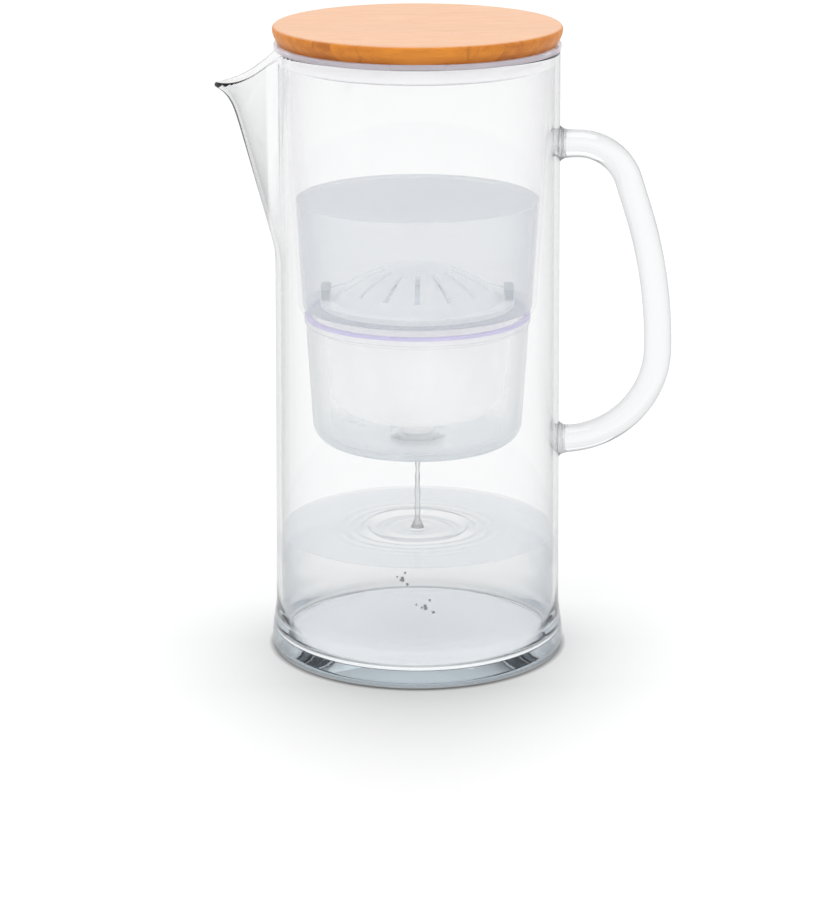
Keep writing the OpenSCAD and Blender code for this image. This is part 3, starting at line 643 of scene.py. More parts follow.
def bamboo(sizes):
    """Laminated bamboo: strips along X with their own tones, fine fibre lines, nodes across a strip, a top
    painted pale as lit with a sheen, a side painted a darker amber as in shade, and speckled end grain
    where the strips end."""
    material, tree = new_material("Laminated Bamboo")
    lit_top_tone, shaded_side_tone, dark_tone = sizes.lit_top_tone[:], sizes.shaded_side_tone[:], sizes.dark_tone[:]
    place = add(tree, "TexCoord").outputs["Object"]
    axes = place_axes(tree)
    across = math(tree, "DIVIDE", axes["Y"], sizes.strip)
    number = math(tree, "FLOOR", across)
    tone = add(tree, "TexWhiteNoise", {"W": number}, noise_dimensions="1D").outputs["Value"]
    seam = ranged(tree, math(tree, "PINGPONG", across, 0.5), 0.0, 0.03, 1.0, 0.0)
    # Fibre lines run along X, and each strip has its own
    shift = add(tree, "CombineXYZ", {0: math(tree, "MULTIPLY", tone, 3.0)}).outputs[0]
    own = add(tree, "VectorMath", {0: place, 1: shift}, operation="ADD").outputs[0]
    lines = add(tree, "Mapping", {"Vector": own, "Scale": (0.035, 1, 1)}).outputs[0]
    fibre = noise(tree, lines, 1400.0, 4.0, 0.65)
    broad = noise(tree, lines, 260.0, 3.0, 0.5)
    # Growth nodes cross a strip where its own coordinate comes round
    start = math(tree, "MULTIPLY", tone, 7.0)
    along = math(tree, "ADD", math(tree, "DIVIDE", axes["X"], 95 * MM), start)
    growth = ranged(tree, math(tree, "PINGPONG", along, 0.5), 0.0, 0.012, 1.0, 0.0)
    normal = normal_axes(tree)
    side = ranged(tree, math(tree, "ABSOLUTE", normal["Z"]), 0.55, 0.9, 1.0, 0.0)
    end = ranged(tree, math(tree, "ABSOLUTE", normal["X"]), 0.35, 0.95)
    # Cut fibre bundles show as dark dots in the end grain
    dots = add(tree, "TexVoronoi", {"Vector": place, "Scale": 1500.0}).outputs["Distance"]
    dots = ranged(tree, dots, 0.12, 0.42, 1.0, 0.0)
    top = blended(tree, math(tree, "MULTIPLY", tone, 0.3), lit_top_tone, (0.74, 0.44, 0.24))
    top = blended(tree, ranged(tree, fibre, 0.45, 0.75, 0.0, 0.7), top, (0.56, 0.28, 0.13))
    shaded = blended(tree, math(tree, "POWER", tone, 1.6), shaded_side_tone, (0.42, 0.13, 0.025))
    shaded = blended(tree, ranged(tree, broad, 0.42, 0.66, 0.0, 0.5), shaded, (0.78, 0.29, 0.035))
    # Painted shade: the side is darker towards its lower edge, which faces down
    low = ranged(tree, axes["Z"], LID_LOW.z, LID_LOW.z + 4 * MM, 0.45, 0.0)
    shaded = blended(tree, low, shaded, (0.36, 0.11, 0.02))
    shaded = blended(tree, ranged(tree, fibre, 0.5, 0.8, 0.0, 0.4), shaded, dark_tone)
    cut = blended(tree, math(tree, "MULTIPLY", dots, 0.65), shaded, dark_tone)
    edge = blended(tree, math(tree, "MULTIPLY", end, 0.85), shaded, cut)
    # Painted light and shade: pale where the surface faces up, darker amber where it faces sideways
    wood = blended(tree, side, top, edge)
    # Nodes and seams are faint on the pale top and darker on the side painted in shade
    growth = math(tree, "MULTIPLY", growth, ranged(tree, side, 0.0, 1.0, 0.06, 0.45))
    seams = math(tree, "MULTIPLY", seam, ranged(tree, side, 0.0, 1.0, 0.1, 0.4))
    wood = blended(tree, math(tree, "MAXIMUM", growth, seams), wood, dark_tone)
    height = math(tree, "SUBTRACT", fibre, math(tree, "MULTIPLY", seam, 0.6))
    return coated(material, {
        "Base Color": wood, "Roughness": ranged(tree, fibre, NOISE_LOW, NOISE_HIGH, 0.34, 0.5),
        "Specular IOR Level": 0.2, "Normal": bumped(tree, height, 0.3, 0.15 * MM),
    })


def brushed_steel():
    """Stainless screws with fine turning marks."""
    material, tree = new_material("Screw Steel")
    marks = noise(tree, placed(tree, (1, 1, 0.1)), 2500.0, 2.0)
    return coated(material, {
        "Base Color": blended(tree, marks, (0.5, 0.5, 0.52), (0.8, 0.8, 0.82)), "Metallic": 1.0,
        "Roughness": ranged(tree, marks, NOISE_LOW, NOISE_HIGH, 0.2, 0.4),
        "Normal": bumped(tree, marks, 0.2, 0.05 * MM),
    })


def still_water(name, tint, veil, edge):
    """Clear water as a thin tinted skin, stronger where it is seen at a low angle."""
    material, tree = new_material(name)
    rim = math(tree, "MULTIPLY", math(tree, "POWER", turned_away(tree), 3.0), edge)
    waves = noise(tree, placed(tree), 60.0, 2.0)
    return coated(material, {
        "Base Color": tint, "Roughness": 0.03, "IOR": WATER_IOR,
        "Alpha": math(tree, "ADD", rim, veil, clamp=True), "Normal": bumped(tree, waves, 0.05, 1 * MM),
    })


# Pieces


def wall_radius(jug, height):
    """Outer radius of the straight glass: linear between the foot and the rim."""
    along = (height - jug.foot_height) / (JUG_HIGH.z - jug.foot_height)
    return jug.wall_radius + (jug.rim_radius - jug.wall_radius) * along


def spout_share(jug, turn):
    """Share of the spout's reach at an angle from its middle: cos^2 of a quarter turn times u^0.8, with
    the power eased near the middle so that the ridge stays round."""
    u = np.clip(np.abs(turn) / np.radians(jug.spout_angle), 0, 1)
    eased = u * ((u + 0.1) / 1.1) ** -0.2
    return np.cos(np.pi / 2 * eased) ** 2


def jug_rim(jug, part):
    """Height of the rim at each share of the spout: it falls by tanh of the reach there, found by
    going back and forth between the two until they agree."""
    height = np.full_like(part, JUG_HIGH.z)
    for _ in range(40):
        reach = part * (jug.spout_slope * (height - jug.spout_low) + jug.spout_curl)
        height = 0.5 * (height + JUG_HIGH.z - jug.spout_dip * np.tanh(reach / jug.dip_reach))
    return height


def jug_grid(jug):
    """Rows of points from the middle of the underside, up the outside, over the rim and down the inside.
    The outside is (r cos u, r sin u, z) with r the wall's radius plus the spout's reach, and the inside
    is the outside moved in by the glass along the surface's normal."""
    # Columns lie closer together over the spout and a little past it
    fine = 26
    near = np.radians(np.linspace(-fine, fine, 121))[:-1]
    far = np.radians(np.linspace(fine, 360 - fine, 141))[:-1]
    turn = np.concatenate([near, far])
    part = spout_share(jug, np.where(turn > np.pi, turn - TURN, turn))
    edge = jug.glass / 2
    top = jug_rim(jug, part) - edge
    # Rows lie closer together towards the rim, where the lip curls
    step = 1 - (1 - np.linspace(0, 1, 70)) ** 1.8
    height = jug.foot_height + (top - jug.foot_height) * step[:, None]
    rise = np.clip(height - jug.spout_low, 0, None)
    # The ridge starts in a curve, and is stretched so that it still reaches as far out at the rim
    bend = 8 * MM
    rise = np.where(rise < bend, rise**2 / (2 * bend), rise - bend / 2) * 81 / 77
    curl = jug.spout_curl * np.exp((height - top) / jug.curl_height)
    radius = wall_radius(jug, height) + part * (jug.spout_slope * rise + np.where(rise > 0, curl, 0))
    outer = np.stack([-radius * np.cos(turn), -radius * np.sin(turn), height], axis=-1)
    upward = np.gradient(outer, axis=0)
    around = (np.roll(outer, -1, axis=1) - np.roll(outer, 1, axis=1)) / 2
    normal = np.cross(around, upward)
    normal /= np.linalg.norm(normal, axis=-1, keepdims=True)
    upward /= np.linalg.norm(upward, axis=-1, keepdims=True)
    inner = outer - normal * jug.glass
    # The fire-polished rim is half a circle from the outside over to the inside
    swing = np.radians(np.linspace(0, 180, 9))[1:-1, None, None]
    middle = outer[-1] - normal[-1] * edge
    lip = middle + edge * (np.cos(swing) * normal[-1] + np.sin(swing) * upward[-1])
    foot_radius = JUG_HIGH.y
    flare_low = jug.foot_edge + 1 * MM
    flare = np.linspace(0, 1, 9)[:-1]
    flare_radius = jug.wall_radius + (foot_radius - jug.wall_radius) * (1 + np.cos(np.pi * flare)) / 2
    low_outer = path(
        [0, 0], [foot_radius * 0.4, 0], [foot_radius * 0.8, 0],
        arc(foot_radius - jug.foot_edge, jug.foot_edge, jug.foot_edge, -90, 0),
        np.stack([flare_radius, flare_low + (jug.foot_height - flare_low) * flare], axis=1),
    )
    floor_radius = jug.wall_radius - jug.glass
    low_inner = path(
        [floor_radius, (jug.foot_height + jug.floor) / 2 + 3 * MM],
        arc(floor_radius - jug.floor_corner, jug.floor + jug.floor_corner, jug.floor_corner, 0, -90),
        [foot_radius * 0.8, jug.floor], [foot_radius * 0.4, jug.floor], [0, jug.floor],
    )
    # Both are turned as the wall is: (-r cos u, -r sin u, z)
    low_outer = -turned(low_outer * [1, -1], turn)
    low_inner = -turned(low_inner * [1, -1], turn)
    return np.concatenate([low_outer, outer, lip, inner[::-1], low_inner])


class PITCHER_OT_jug(bpy.types.Operator):
    """Builds the glass jug with its spout"""

    bl_idname = "pitcher.jug"
    bl_label = "Glass jug"

    def execute(self, context):
        # Painted shade along the jug's outline
        glass = clear_glass("Jug Glass", PAINTED_RIM_SHADE, 14.0, jug_outline_shade)
        piece = close_grid("jug_glass", jug_grid(settings().jug), glass, False, 50.0)
        dress(piece, "jug", ["glass_jug"])
        return {"FINISHED"}


def handle_line(jug):
    """Centreline of the handle in x and z: out from the upper weld, round the upper bend, down the
    leaning upright and its long bow, round the lower bend and back in to the lower weld."""
    reach = ROD_HIGH.x - jug.rod_radius
    lean = np.radians(jug.lean)
    low_x, low_z = reach - jug.lower_bend, jug.lower_weld + jug.lower_bend
    drop = jug.upper_bend * (1 - np.sin(lean)) + jug.upright * np.cos(lean)
    bow = (jug.upper_weld - low_z - drop) / np.sin(lean)
    high_x = reach - bow * (1 - np.cos(lean)) - jug.upright * np.sin(lean)
    high_x -= jug.upper_bend * np.cos(lean)
    root = jug.rim_radius - 0.5 * jug.glass
    # Points lie closer together at the welds
    lead = root + (high_x - root) * np.linspace(0, 1, 40)[:-1] ** 1.5
    tail = np.linspace(low_x - 0.8 * MM, root, 12)
    return path(
        np.stack([lead, np.full_like(lead, jug.upper_weld)], axis=1),
        arc(high_x, jug.upper_weld - jug.upper_bend, jug.upper_bend, 90, jug.lean, 20),
        arc(reach - bow, low_z, bow, jug.lean, 0, 24),
        arc(low_x, low_z, jug.lower_bend, 0, -90, 70)[1:],
        np.stack([tail, np.full_like(tail, jug.lower_weld)], axis=1),
    )


def swept_rod(centre, radius, sides):
    """Circles of the given radii around each point of a line in the XZ plane, square to the line:
    c + r (cos a n + sin a y)."""
    along = np.gradient(centre, axis=0)
    along /= np.linalg.norm(along, axis=1, keepdims=True)
    angle = np.linspace(0, TURN, sides, endpoint=False)
    x = centre[:, :1] - radius[:, None] * np.cos(angle) * along[:, 1:]
    z = centre[:, 1:] + radius[:, None] * np.cos(angle) * along[:, :1]
    return np.stack([x, radius[:, None] * np.sin(angle), z], axis=-1)


class PITCHER_OT_handle(bpy.types.Operator):
    """Builds the bent glass rod with its two weld pads"""

    bl_idname = "pitcher.handle"
    bl_label = "Rod handle"

    def execute(self, context):
        jug = settings().jug
        centre = handle_line(jug)
        from_wall = centre[:, 0] - wall_radius(jug, centre[:, 1])
        swell = np.exp(-3 * np.clip(from_wall, 0, None) / jug.pad_length)
        radius = jug.rod_radius + (jug.pad_radius - jug.rod_radius) * swell
        sides = 40
        rings = swept_rod(centre, radius, sides)
        ends = [np.tile([centre[k, 0], 0, centre[k, 1]], (1, sides, 1)) for k in (0, -1)]
        # The dark colour is the shade painted along the rod's outline
        glass = clear_glass("Handle Glass", (0.04, 0.05, 0.06), 22.0, rod_outline_shade)
        grid = np.concatenate([ends[0], rings, ends[1]])
        piece = close_grid("handle_rod", grid, glass, False, 50.0)
        dress(piece, "jug", ["glass_handle"])
        return {"FINISHED"}


def mouth_radius():
    """Outer radius of the reservoir below its flange: the gasket stands out 0.5 mm past it."""
    return -GASKET_LOW.x - 0.5 * MM


def funnel_profile(sizes):
    """Closed outline of the reservoir's wall: spigot, step, tapered wall, collar, groove and flange."""
    mouth = mouth_radius()
    inner = mouth - sizes.collar
    rim = FUNNEL_HIGH.z - sizes.flange
    flange = FUNNEL_HIGH.x
    neck = RING_HIGH.x
    spigot = CUP_HIGH.x - sizes.cup_lip - sizes.wall - PLAY
    step = neck + sizes.step_width
    neck_z = RING_HIGH.z
    step_z = neck_z + sizes.step_height
    collar_z = rim - sizes.collar_height
    groove = mouth - sizes.groove
    groove_high, groove_low = GASKET_HIGH.z + PLAY, GASKET_LOW.z - PLAY
    outline = [
        [spigot, neck_z - sizes.spigot], [spigot, neck_z], [neck, neck_z], [step, step_z],
        [mouth, collar_z], [mouth, groove_low], [groove, groove_low], [groove, groove_high],
        [mouth, groove_high], [mouth, rim], [flange, rim], [flange, FUNNEL_HIGH.z],
        [inner, FUNNEL_HIGH.z], [inner, collar_z],
        [mouth - sizes.wall, collar_z - sizes.collar + sizes.wall],
        [step - sizes.wall, step_z], [spigot - sizes.wall, step_z],
        [spigot - sizes.wall, neck_z - sizes.spigot],
    ]
    return softened(np.array(outline), 0.5 * MM)


def funnel_grid(sizes):
    """The reservoir's outline carried round the axis. Two columns stand close together on each side of
    the finger notch at the front, and between them y goes no further out than the notch's face."""
    edge = np.arcsin(sizes.notch_width / 2 / FUNNEL_HIGH.x)
    sides = edge + np.array([-1, 1]) * 0.0004
    front = -np.pi / 2
    angles = np.sort(np.concatenate([
        front + np.linspace(-edge, edge, 15)[1:-1], front + sides, front - sides,
        front + np.linspace(sides[1], TURN - sides[1], settings().segments)[1:-1],
    ]))
    grid = turned(funnel_profile(sizes), angles)
    notched = np.abs(angles - front) < edge
    deep = -FUNNEL_HIGH.x + sizes.notch_depth
    grid[..., 1] = np.where(notched, np.maximum(grid[..., 1], deep), grid[..., 1])
    return grid


class PITCHER_OT_funnel(bpy.types.Operator):
    """Builds the clear reservoir with its flange and finger notch, and the silicone gasket"""

    bl_idname = "pitcher.funnel"
    bl_label = "Funnel and gasket"

    def execute(self, context):
        sizes = settings().funnel
        rim = FUNNEL_HIGH.z - sizes.flange
        flange = (by_height(rim - 0.2 * MM, rim), (0.7, 0.65, 0.73), 0.35)
        clear = veiled_plastic(
            "Clear Plastic", (0.95, 0.93, 0.96), 0.015, 0.4, 0.1, 0.4, edge_power=3.0, zone=flange
        )
        piece = close_grid("reservoir", funnel_grid(sizes), clear, True, 30.0)
        dress(piece, "funnel", ["funnel_reservoir"])
        outer, inner, lip = GASKET_HIGH.x, GASKET_HIGH.x - 1.6 * MM, 0.5 * MM
        low, high = GASKET_LOW.z, GASKET_HIGH.z
        # The gasket's glow is painted light
        silicone = solid_plastic("Silicone", (0.97, 0.97, 0.98), 0.35, alpha=0.5, tone=0.01, glow=0.15)
        corners = [
            [inner, low], [outer - lip, low], [outer, low + lip], [outer, high - lip],
            [outer - lip, high], [inner, high],
        ]
        dress_band("gasket_band", corners, 0.25 * MM, silicone, "funnel", "funnel_gasket")
        return {"FINISHED"}


def cup_profile(sizes):
    """Closed outline of the filter cup: rounded bottom, drawn-in side, seat and rim, then the inside
    down to the socket and the nozzle's hole."""
    low, high = CUP_LOW.z, CUP_HIGH.z
    rim = CUP_HIGH.x
    outer = rim - sizes.cup_lip
    foot = outer - sizes.cup_draw_in
    corner = sizes.cup_corner
    wall = sizes.wall
    inner = outer - wall
    floor = low + sizes.cup_floor
    socket = floor + sizes.socket_height
    lip = [[rim, high - sizes.cup_lip_height], [rim, high], [inner, high], [inner, high - 2 * MM]]
    return path(
        [sizes.nozzle_hole, low],
        arc(foot - corner, low + corner, corner, -90, 0, 12),
        [[outer, high - sizes.cup_seat], [outer, high - sizes.cup_lip_height - sizes.cup_lip]],
        softened(np.array(lip), 0.4 * MM, ring=False),
        [inner, high - sizes.cup_seat],
        arc(foot - corner, floor + corner - wall, corner - wall, 0, -90, 12),
        [[sizes.socket_radius + 1 * MM, floor], [sizes.socket_radius, floor + 1 * MM]],
        [[sizes.socket_radius, socket], [sizes.socket_bore, socket]],
        [[sizes.socket_bore, floor], [sizes.nozzle_hole, floor]],
    )


class PITCHER_OT_cup(bpy.types.Operator):
    """Builds the frosted filter cup and the thin ring seal above it"""

    bl_idname = "pitcher.cup"
    bl_label = "Filter cup and ring seal"

    def execute(self, context):
        # Painted shade: the cup is tinted darker blue-grey and denser towards its foot, and darker towards
        # its outline
        foot = (by_height(CUP_LOW.z + 10 * MM, CUP_LOW.z + 2 * MM), (0.56, 0.61, 0.65), 0.14)
        # The cup's glow is painted light
        frosted = veiled_plastic(
            "Frosted Plastic", (0.96, 0.96, 0.97), 0.2, 0.8, 0.38, 0.3, 2.6, (0.42, 0.45, 0.47), foot, 0.14
        )
        piece = turned_piece("filter_cup_frosted", cup_profile(settings().funnel), frosted)
        dress(piece, "funnel", ["filter_cup"])
        outer, inner = RING_HIGH.x, RING_HIGH.x - 2.8 * MM
        low, high = RING_LOW.z, RING_HIGH.z
        # The ring seal's glow is painted light
        violet = solid_plastic("Ring Seal", (0.62, 0.56, 0.88), 0.4, alpha=0.6, glow=0.1)
        corners = [[inner, low], [outer, low], [outer, high], [inner, high]]
        dress_band("ring_seal", corners, 0.35 * MM, violet, "funnel", "cup_seal")
        return {"FINISHED"}


def shell_profile(sizes):
    """Closed outline of the cartridge's shell with its outlet."""
    outer = SHELL_HIGH.x
    foot = outer - sizes.draw_in
    low = SHELL_LOW.z + sizes.outlet_length
    floor = low + sizes.wall
    corner = sizes.corner
    inner_corner = corner - sizes.wall
    return path(
        softened(np.array([
            [sizes.outlet_bore, low], [sizes.outlet_bore, SHELL_LOW.z],
            [sizes.outlet, SHELL_LOW.z], [sizes.outlet, low - 2 * MM],
        ]), 0.4 * MM, ring=False),
        [sizes.outlet, low],
        arc(foot - corner, low + corner, corner, -90, 0, 16),
        [[outer, SHELL_HIGH.z], [outer - sizes.wall, SHELL_HIGH.z]],
        arc(foot - corner, floor + inner_corner, inner_corner, 0, -90, 16),
        [sizes.outlet_bore, floor],
    )


def refinish(node, material):
    """Gives a CAD node a new material, and leaves its shape alone."""
    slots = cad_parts[node].material_slots
    for slot in slots:
        slot.material = material
    if not len(slots):
        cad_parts[node].data.materials.append(material)


class PITCHER_OT_cartridge(bpy.types.Operator):
    """Builds the cartridge's shell, and gives its other parts their finish"""

    bl_idname = "pitcher.cartridge"
    bl_label = "Cartridge"

    def execute(self, context):
        # The glows of the milky shell, the cap, the screens and the fleece are painted light
        milky = veiled_plastic("Milky Plastic", (0.9, 0.9, 0.91), 0.88, 0.3, 0.35, glow=0.08)
        shell = turned_piece("cartridge_bowl", shell_profile(settings().cartridge), milky)
        dress(shell, "cartridge", ["cartridge_shell"])
        grips = (cap_grips, (0.42, 0.46, 0.5), 0.5)
        cap = veiled_plastic("Cap Plastic", (0.9, 0.91, 0.92), 0.85, 0.2, 0.3, zone=grips, glow=0.1)
        screen = solid_plastic(
            "Screen Plastic", (0.9, 0.91, 0.93), 0.45, grain_scale=1200.0, tone=0.02, glow=0.4
        )
        fleece = felt("Fleece", (0.95, 0.95, 0.94), (0.75, 0.75, 0.74), 0.35)
        # The gap and shade colours are painted shade between the granules
        black, blacker, gap = (0.1, 0.1, 0.105), (0.03, 0.03, 0.032), (0.008, 0.008, 0.008)
        amber, brown, shade = (0.72, 0.56, 0.28), (0.5, 0.34, 0.12), (0.2, 0.12, 0.04)
        finishes = {
            "cartridge_cap": cap,
            "cartridge_seal": solid_plastic("O-ring Rubber", (0.03, 0.03, 0.032), 0.5),
            "inlet_screen": screen,
            "outlet_screen": screen,
            "top_fleece": fleece,
            "divider_fleece": fleece,
            "carbon_bed": granular("Carbon", black, blacker, gap, 900.0, 0.6),
            "resin_bed": granular("Resin", amber, brown, shade, 1400.0, 0.35),
        }
        for node, finish in finishes.items():
            refinish(node, finish)
        return {"FINISHED"}


class PITCHER_OT_nozzle(bpy.types.Operator):
    """Gives the outlet nozzle its finish"""

    bl_idname = "pitcher.nozzle"
    bl_label = "Outlet nozzle"

    def execute(self, context):
        refinish("outlet_nozzle", solid_plastic("Nozzle Plastic", (0.2, 0.24, 0.28), 0.3, alpha=0.9))
        return {"FINISHED"}


def disc_profile(sizes):
    """Outline of the bamboo disc from pole to pole: the flat underside, a flank that swells upwards as
    a quarter of a sine, the rounded edge and the flat top."""
    low, high, wide = LID_LOW.z, LID_HIGH.z, LID_HIGH.x
    widest = high - sizes.edge
    t = np.linspace(0, 1, 10)
    swell = wide - sizes.undercut * (1 - np.sin(np.pi / 2 * t))
    rings = np.linspace(0.96, 0, 10)
    return path(
        np.stack([(wide - sizes.undercut) * rings[::-1], 0 * rings + low], axis=1),
        np.stack([swell, low + (widest - low) * t], axis=1),
        arc(wide - sizes.edge, widest, sizes.edge, 0, 90),
        np.stack([(wide - sizes.edge) * rings, 0 * rings + high], axis=1),
    )


class PITCHER_OT_lid(bpy.types.Operator):
    """Builds the bamboo disc and the seal, and gives the plug and the screws their finish"""

    bl_idname = "pitcher.lid"
    bl_label = "Lid"

    def execute(self, context):
        sizes = settings().lid
        disc = turned_piece("bamboo_disc", disc_profile(sizes), bamboo(sizes), ring=False, sharp_angle=50.0)
        dress(disc, "lid", ["lid_disc"])
        outer, plug, groove = LID_SEAL_HIGH.x, PLUG_HIGH.x, PLUG_HIGH.x - 0.9 * MM
        low, high = LID_SEAL_LOW.z, LID_SEAL_HIGH.z
        belly = (high - low) * 0.3
        silicone = solid_plastic("Lid Silicone", (0.97, 0.97, 0.98), 0.35, alpha=0.6, tone=0.01)
        corners = [
            [groove, low], [plug, low], [outer, low + belly], [outer, high - belly],
            [plug, high], [groove, high],
        ]
        dress_band("lid_seal_band", corners, 0.3 * MM, silicone, "lid", "lid_seal")
        refinish("lid_plug", solid_plastic("Plug Plastic", (0.95, 0.94, 0.97), 0.4, alpha=0.7, tone=0.01))
        refinish("lid_screws", brushed_steel())
        return {"FINISHED"}


def bell(distance, width):
    """A bell curve: e^-(distance / width)^2."""
    return np.exp(-((distance / width) ** 2))


def water_level(radius, angle, sizes):
    """Height of the jug's water: a bell-shaped ring with a trough inside it, small cosine ripples that
    die out on both sides of it, and a low mound where the stream enters."""
    from_ring = radius - sizes.ripple_radius * (1 + 0.025 * np.cos(3 * angle + 1))
    ring = bell(from_ring, 2 * MM) - 0.7 * bell(from_ring + 5 * MM, 3 * MM)
    small = 0.22 * np.cos(TURN * from_ring / sizes.ripple_pitch) * bell(from_ring, 13 * MM)
    mound = 1.3 * bell(radius, 2.4 * MM) - 0.8 * bell(radius, 6 * MM)
    return sizes.lower_level + sizes.ripple * (ring + small + mound)


def pool(sizes, jug):
    """The water in the jug: its surface from the middle out, where it climbs at the glass by an
    exponential of the distance, and then its underside."""
    angles = even_turn()
    wall = jug.wall_radius - jug.glass - WATER_GAP
    radii = wall * np.linspace(0, 1, 110)[:, None]
    height = water_level(radii, angles, sizes) + MENISCUS * np.exp((radii - wall) / (1 * MM))
    surface = np.stack([radii * np.cos(angles), radii * np.sin(angles), height], axis=-1)
    floor, corner = jug.floor + PLAY, 6 * MM
    under = turned(path(
        [wall, (floor + sizes.lower_level) / 2], arc(wall - corner, floor + corner, corner, 0, -90),
        [wall * 0.5, floor], [0, floor],
    ), angles)
    water = still_water("Filtered Water", sizes.tint[:], 0.07, 0.8)
    return close_grid("jug_water", np.concatenate([surface, under]), water, False, 60.0)


def reservoir_fill(sizes, funnel):
    """The water in the reservoir, over the cartridge's cap."""
    step = RING_HIGH.x + funnel.step_width - funnel.wall
    mouth = mouth_radius() - funnel.wall
    low = RING_HIGH.z + funnel.step_height + PLAY
    slope = (mouth - step) / (FUNNEL_HIGH.z - funnel.flange - funnel.collar_height - low)
    top = sizes.upper_level
    edge = step + slope * (top - low) - WATER_GAP
    rings = np.linspace(0, 1, 14)
    outline = path(
        np.stack([edge * rings, np.where(rings < 1, top, top + MENISCUS)], axis=1),
        [[step - WATER_GAP, low], [step * 0.5, low], [0, low]],
    )
    water = still_water("Tap Water", sizes.tint[:], 0.19, 0.75)
    return turned_piece("reservoir_water", outline, water, ring=False, sharp_angle=60.0)


def stream(sizes, start, end):
    """The stream between two heights. Its radius shrinks as it falls, waves and twists by sines of the
    fall and the angle, and spreads as the fall's 14th power where it enters the water."""
    angles = even_turn()
    fall = np.linspace(0, 1, 60)[:, None]
    swell = 1 + 0.22 * np.sin(fall * 34) * fall + 0.2 * np.cos(2 * angles + fall * 9)
    width = sizes.stream_radius * ((1.2 - 0.4 * fall) * swell + 2 * fall**14)
    height = start + (end - start) * fall + 0 * angles
    side = np.stack([width * np.cos(angles), width * np.sin(angles), height], axis=-1)
    first, last = [np.tile([0, 0, z], (1, len(angles), 1)) for z in (start, end)]
    # Painted shade: the stream darkens towards its outline
    falling = veiled_plastic(
        "Falling Water", (0.9, 0.92, 0.93), 0.15, 0.9, 0.05, edge_power=1.3, painted_edge_tint=PAINTED_RIM_SHADE
    )
    return close_grid("water_stream", np.concatenate([first, side, last]), falling, False, 60.0)


def air_bubbles():
    """Air bubbles in two loose clusters under the stream, each a spiral that turns by the golden angle,
    with a dark tint and a darker rim painted as shade.
    """
    order = np.arange(6)
    turns = order * np.pi * (3 - 5**0.5)
    ring = np.sqrt(order / 6)
    spiral = np.stack([ring * np.cos(turns), ring * np.sin(turns), ring * np.sin(2 * turns)], axis=1)
    high = spiral * 3 * MM + [-7 * MM, 0, 30 * MM]
    low = spiral * [5 * MM, 4 * MM, 3 * MM] + [3.5 * MM, 0, 16.5 * MM]
    radii = np.tile([0.8, 0.5, 0.9, 0.6, 0.45, 0.7], 2) * MM
    points, faces = balls(np.concatenate([high, low]), radii)
    # Painted shade: the bubbles are tinted dark, and darker still at their rim
    air = veiled_plastic(
        "Air Bubble", (0.3, 0.32, 0.35), 0.5, 1.0, 0.05, edge_power=1.0, painted_edge_tint=PAINTED_RIM_SHADE
    )
    return new_object("water_bubbles", new_mesh("water_bubbles", points, faces, 60.0), air)


class PITCHER_OT_water(bpy.types.Operator):
    """Fills the funnel and the jug with the water that the pitcher holds, and joins them by the stream"""

    bl_idname = "pitcher.water"
    bl_label = "Water"

    def execute(self, context):
        sizes = settings().water
        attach(pool(sizes, settings().jug), "jug")
        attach(reservoir_fill(sizes, settings().funnel), "funnel")
        # The stream runs from just under the cup down to the water in the jug, and stays where it is built
        start, end = CUP_LOW.z - 1 * MM, sizes.lower_level
        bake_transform(stream(sizes, start, end))
        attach(air_bubbles(), "jug")
        return {"FINISHED"}


def soft_lamp(name, place, aim, size, power):
    """A square area lamp at a place, turned towards an aim."""
    data = bpy.data.lights.new(name, "AREA")
    data.shape, data.size, data.energy = "SQUARE", size, power
    lamp = bpy.data.objects.new(name, data)
    bpy.context.scene.collection.objects.link(lamp)
    lamp.location = place
    lamp.rotation_mode = "QUATERNION"
    lamp.rotation_quaternion = (Vector(aim) - Vector(place)).to_track_quat("-Z", "Y")


def seen_rays(tree):
    """Two masks of rays: those that glass has bent or mirrored, and those and the camera's own."""
    rays = add(tree, "LightPath").outputs
    bent = math(tree, "MAXIMUM", rays["Is Transmission Ray"], rays["Is Glossy Ray"])
    return bent, math(tree, "MAXIMUM", rays["Is Camera Ray"], bent)


def soft_shadow(tree):
    """Mask of a soft shadow painted on the floor, as a light high behind the pitcher would throw it
    forwards:
    it dies out as exp(-(x / width)^2 - y / length) past the foot."""
    axes, width, one_over_e = place_axes(tree), 74 * MM, 0.368
    beside = math(tree, "POWER", math(tree, "DIVIDE", math(tree, "ABSOLUTE", axes["X"]), width), 2.0)
    ahead = ranged(tree, axes["Y"], -0.81, -0.06, 10.0, 0.0)
    behind = ranged(tree, axes["Y"], 0.0, 0.055, 1.0, 0.0)
    decay = math(tree, "POWER", one_over_e, math(tree, "ADD", beside, ahead))
    return math(tree, "MULTIPLY", decay, behind)


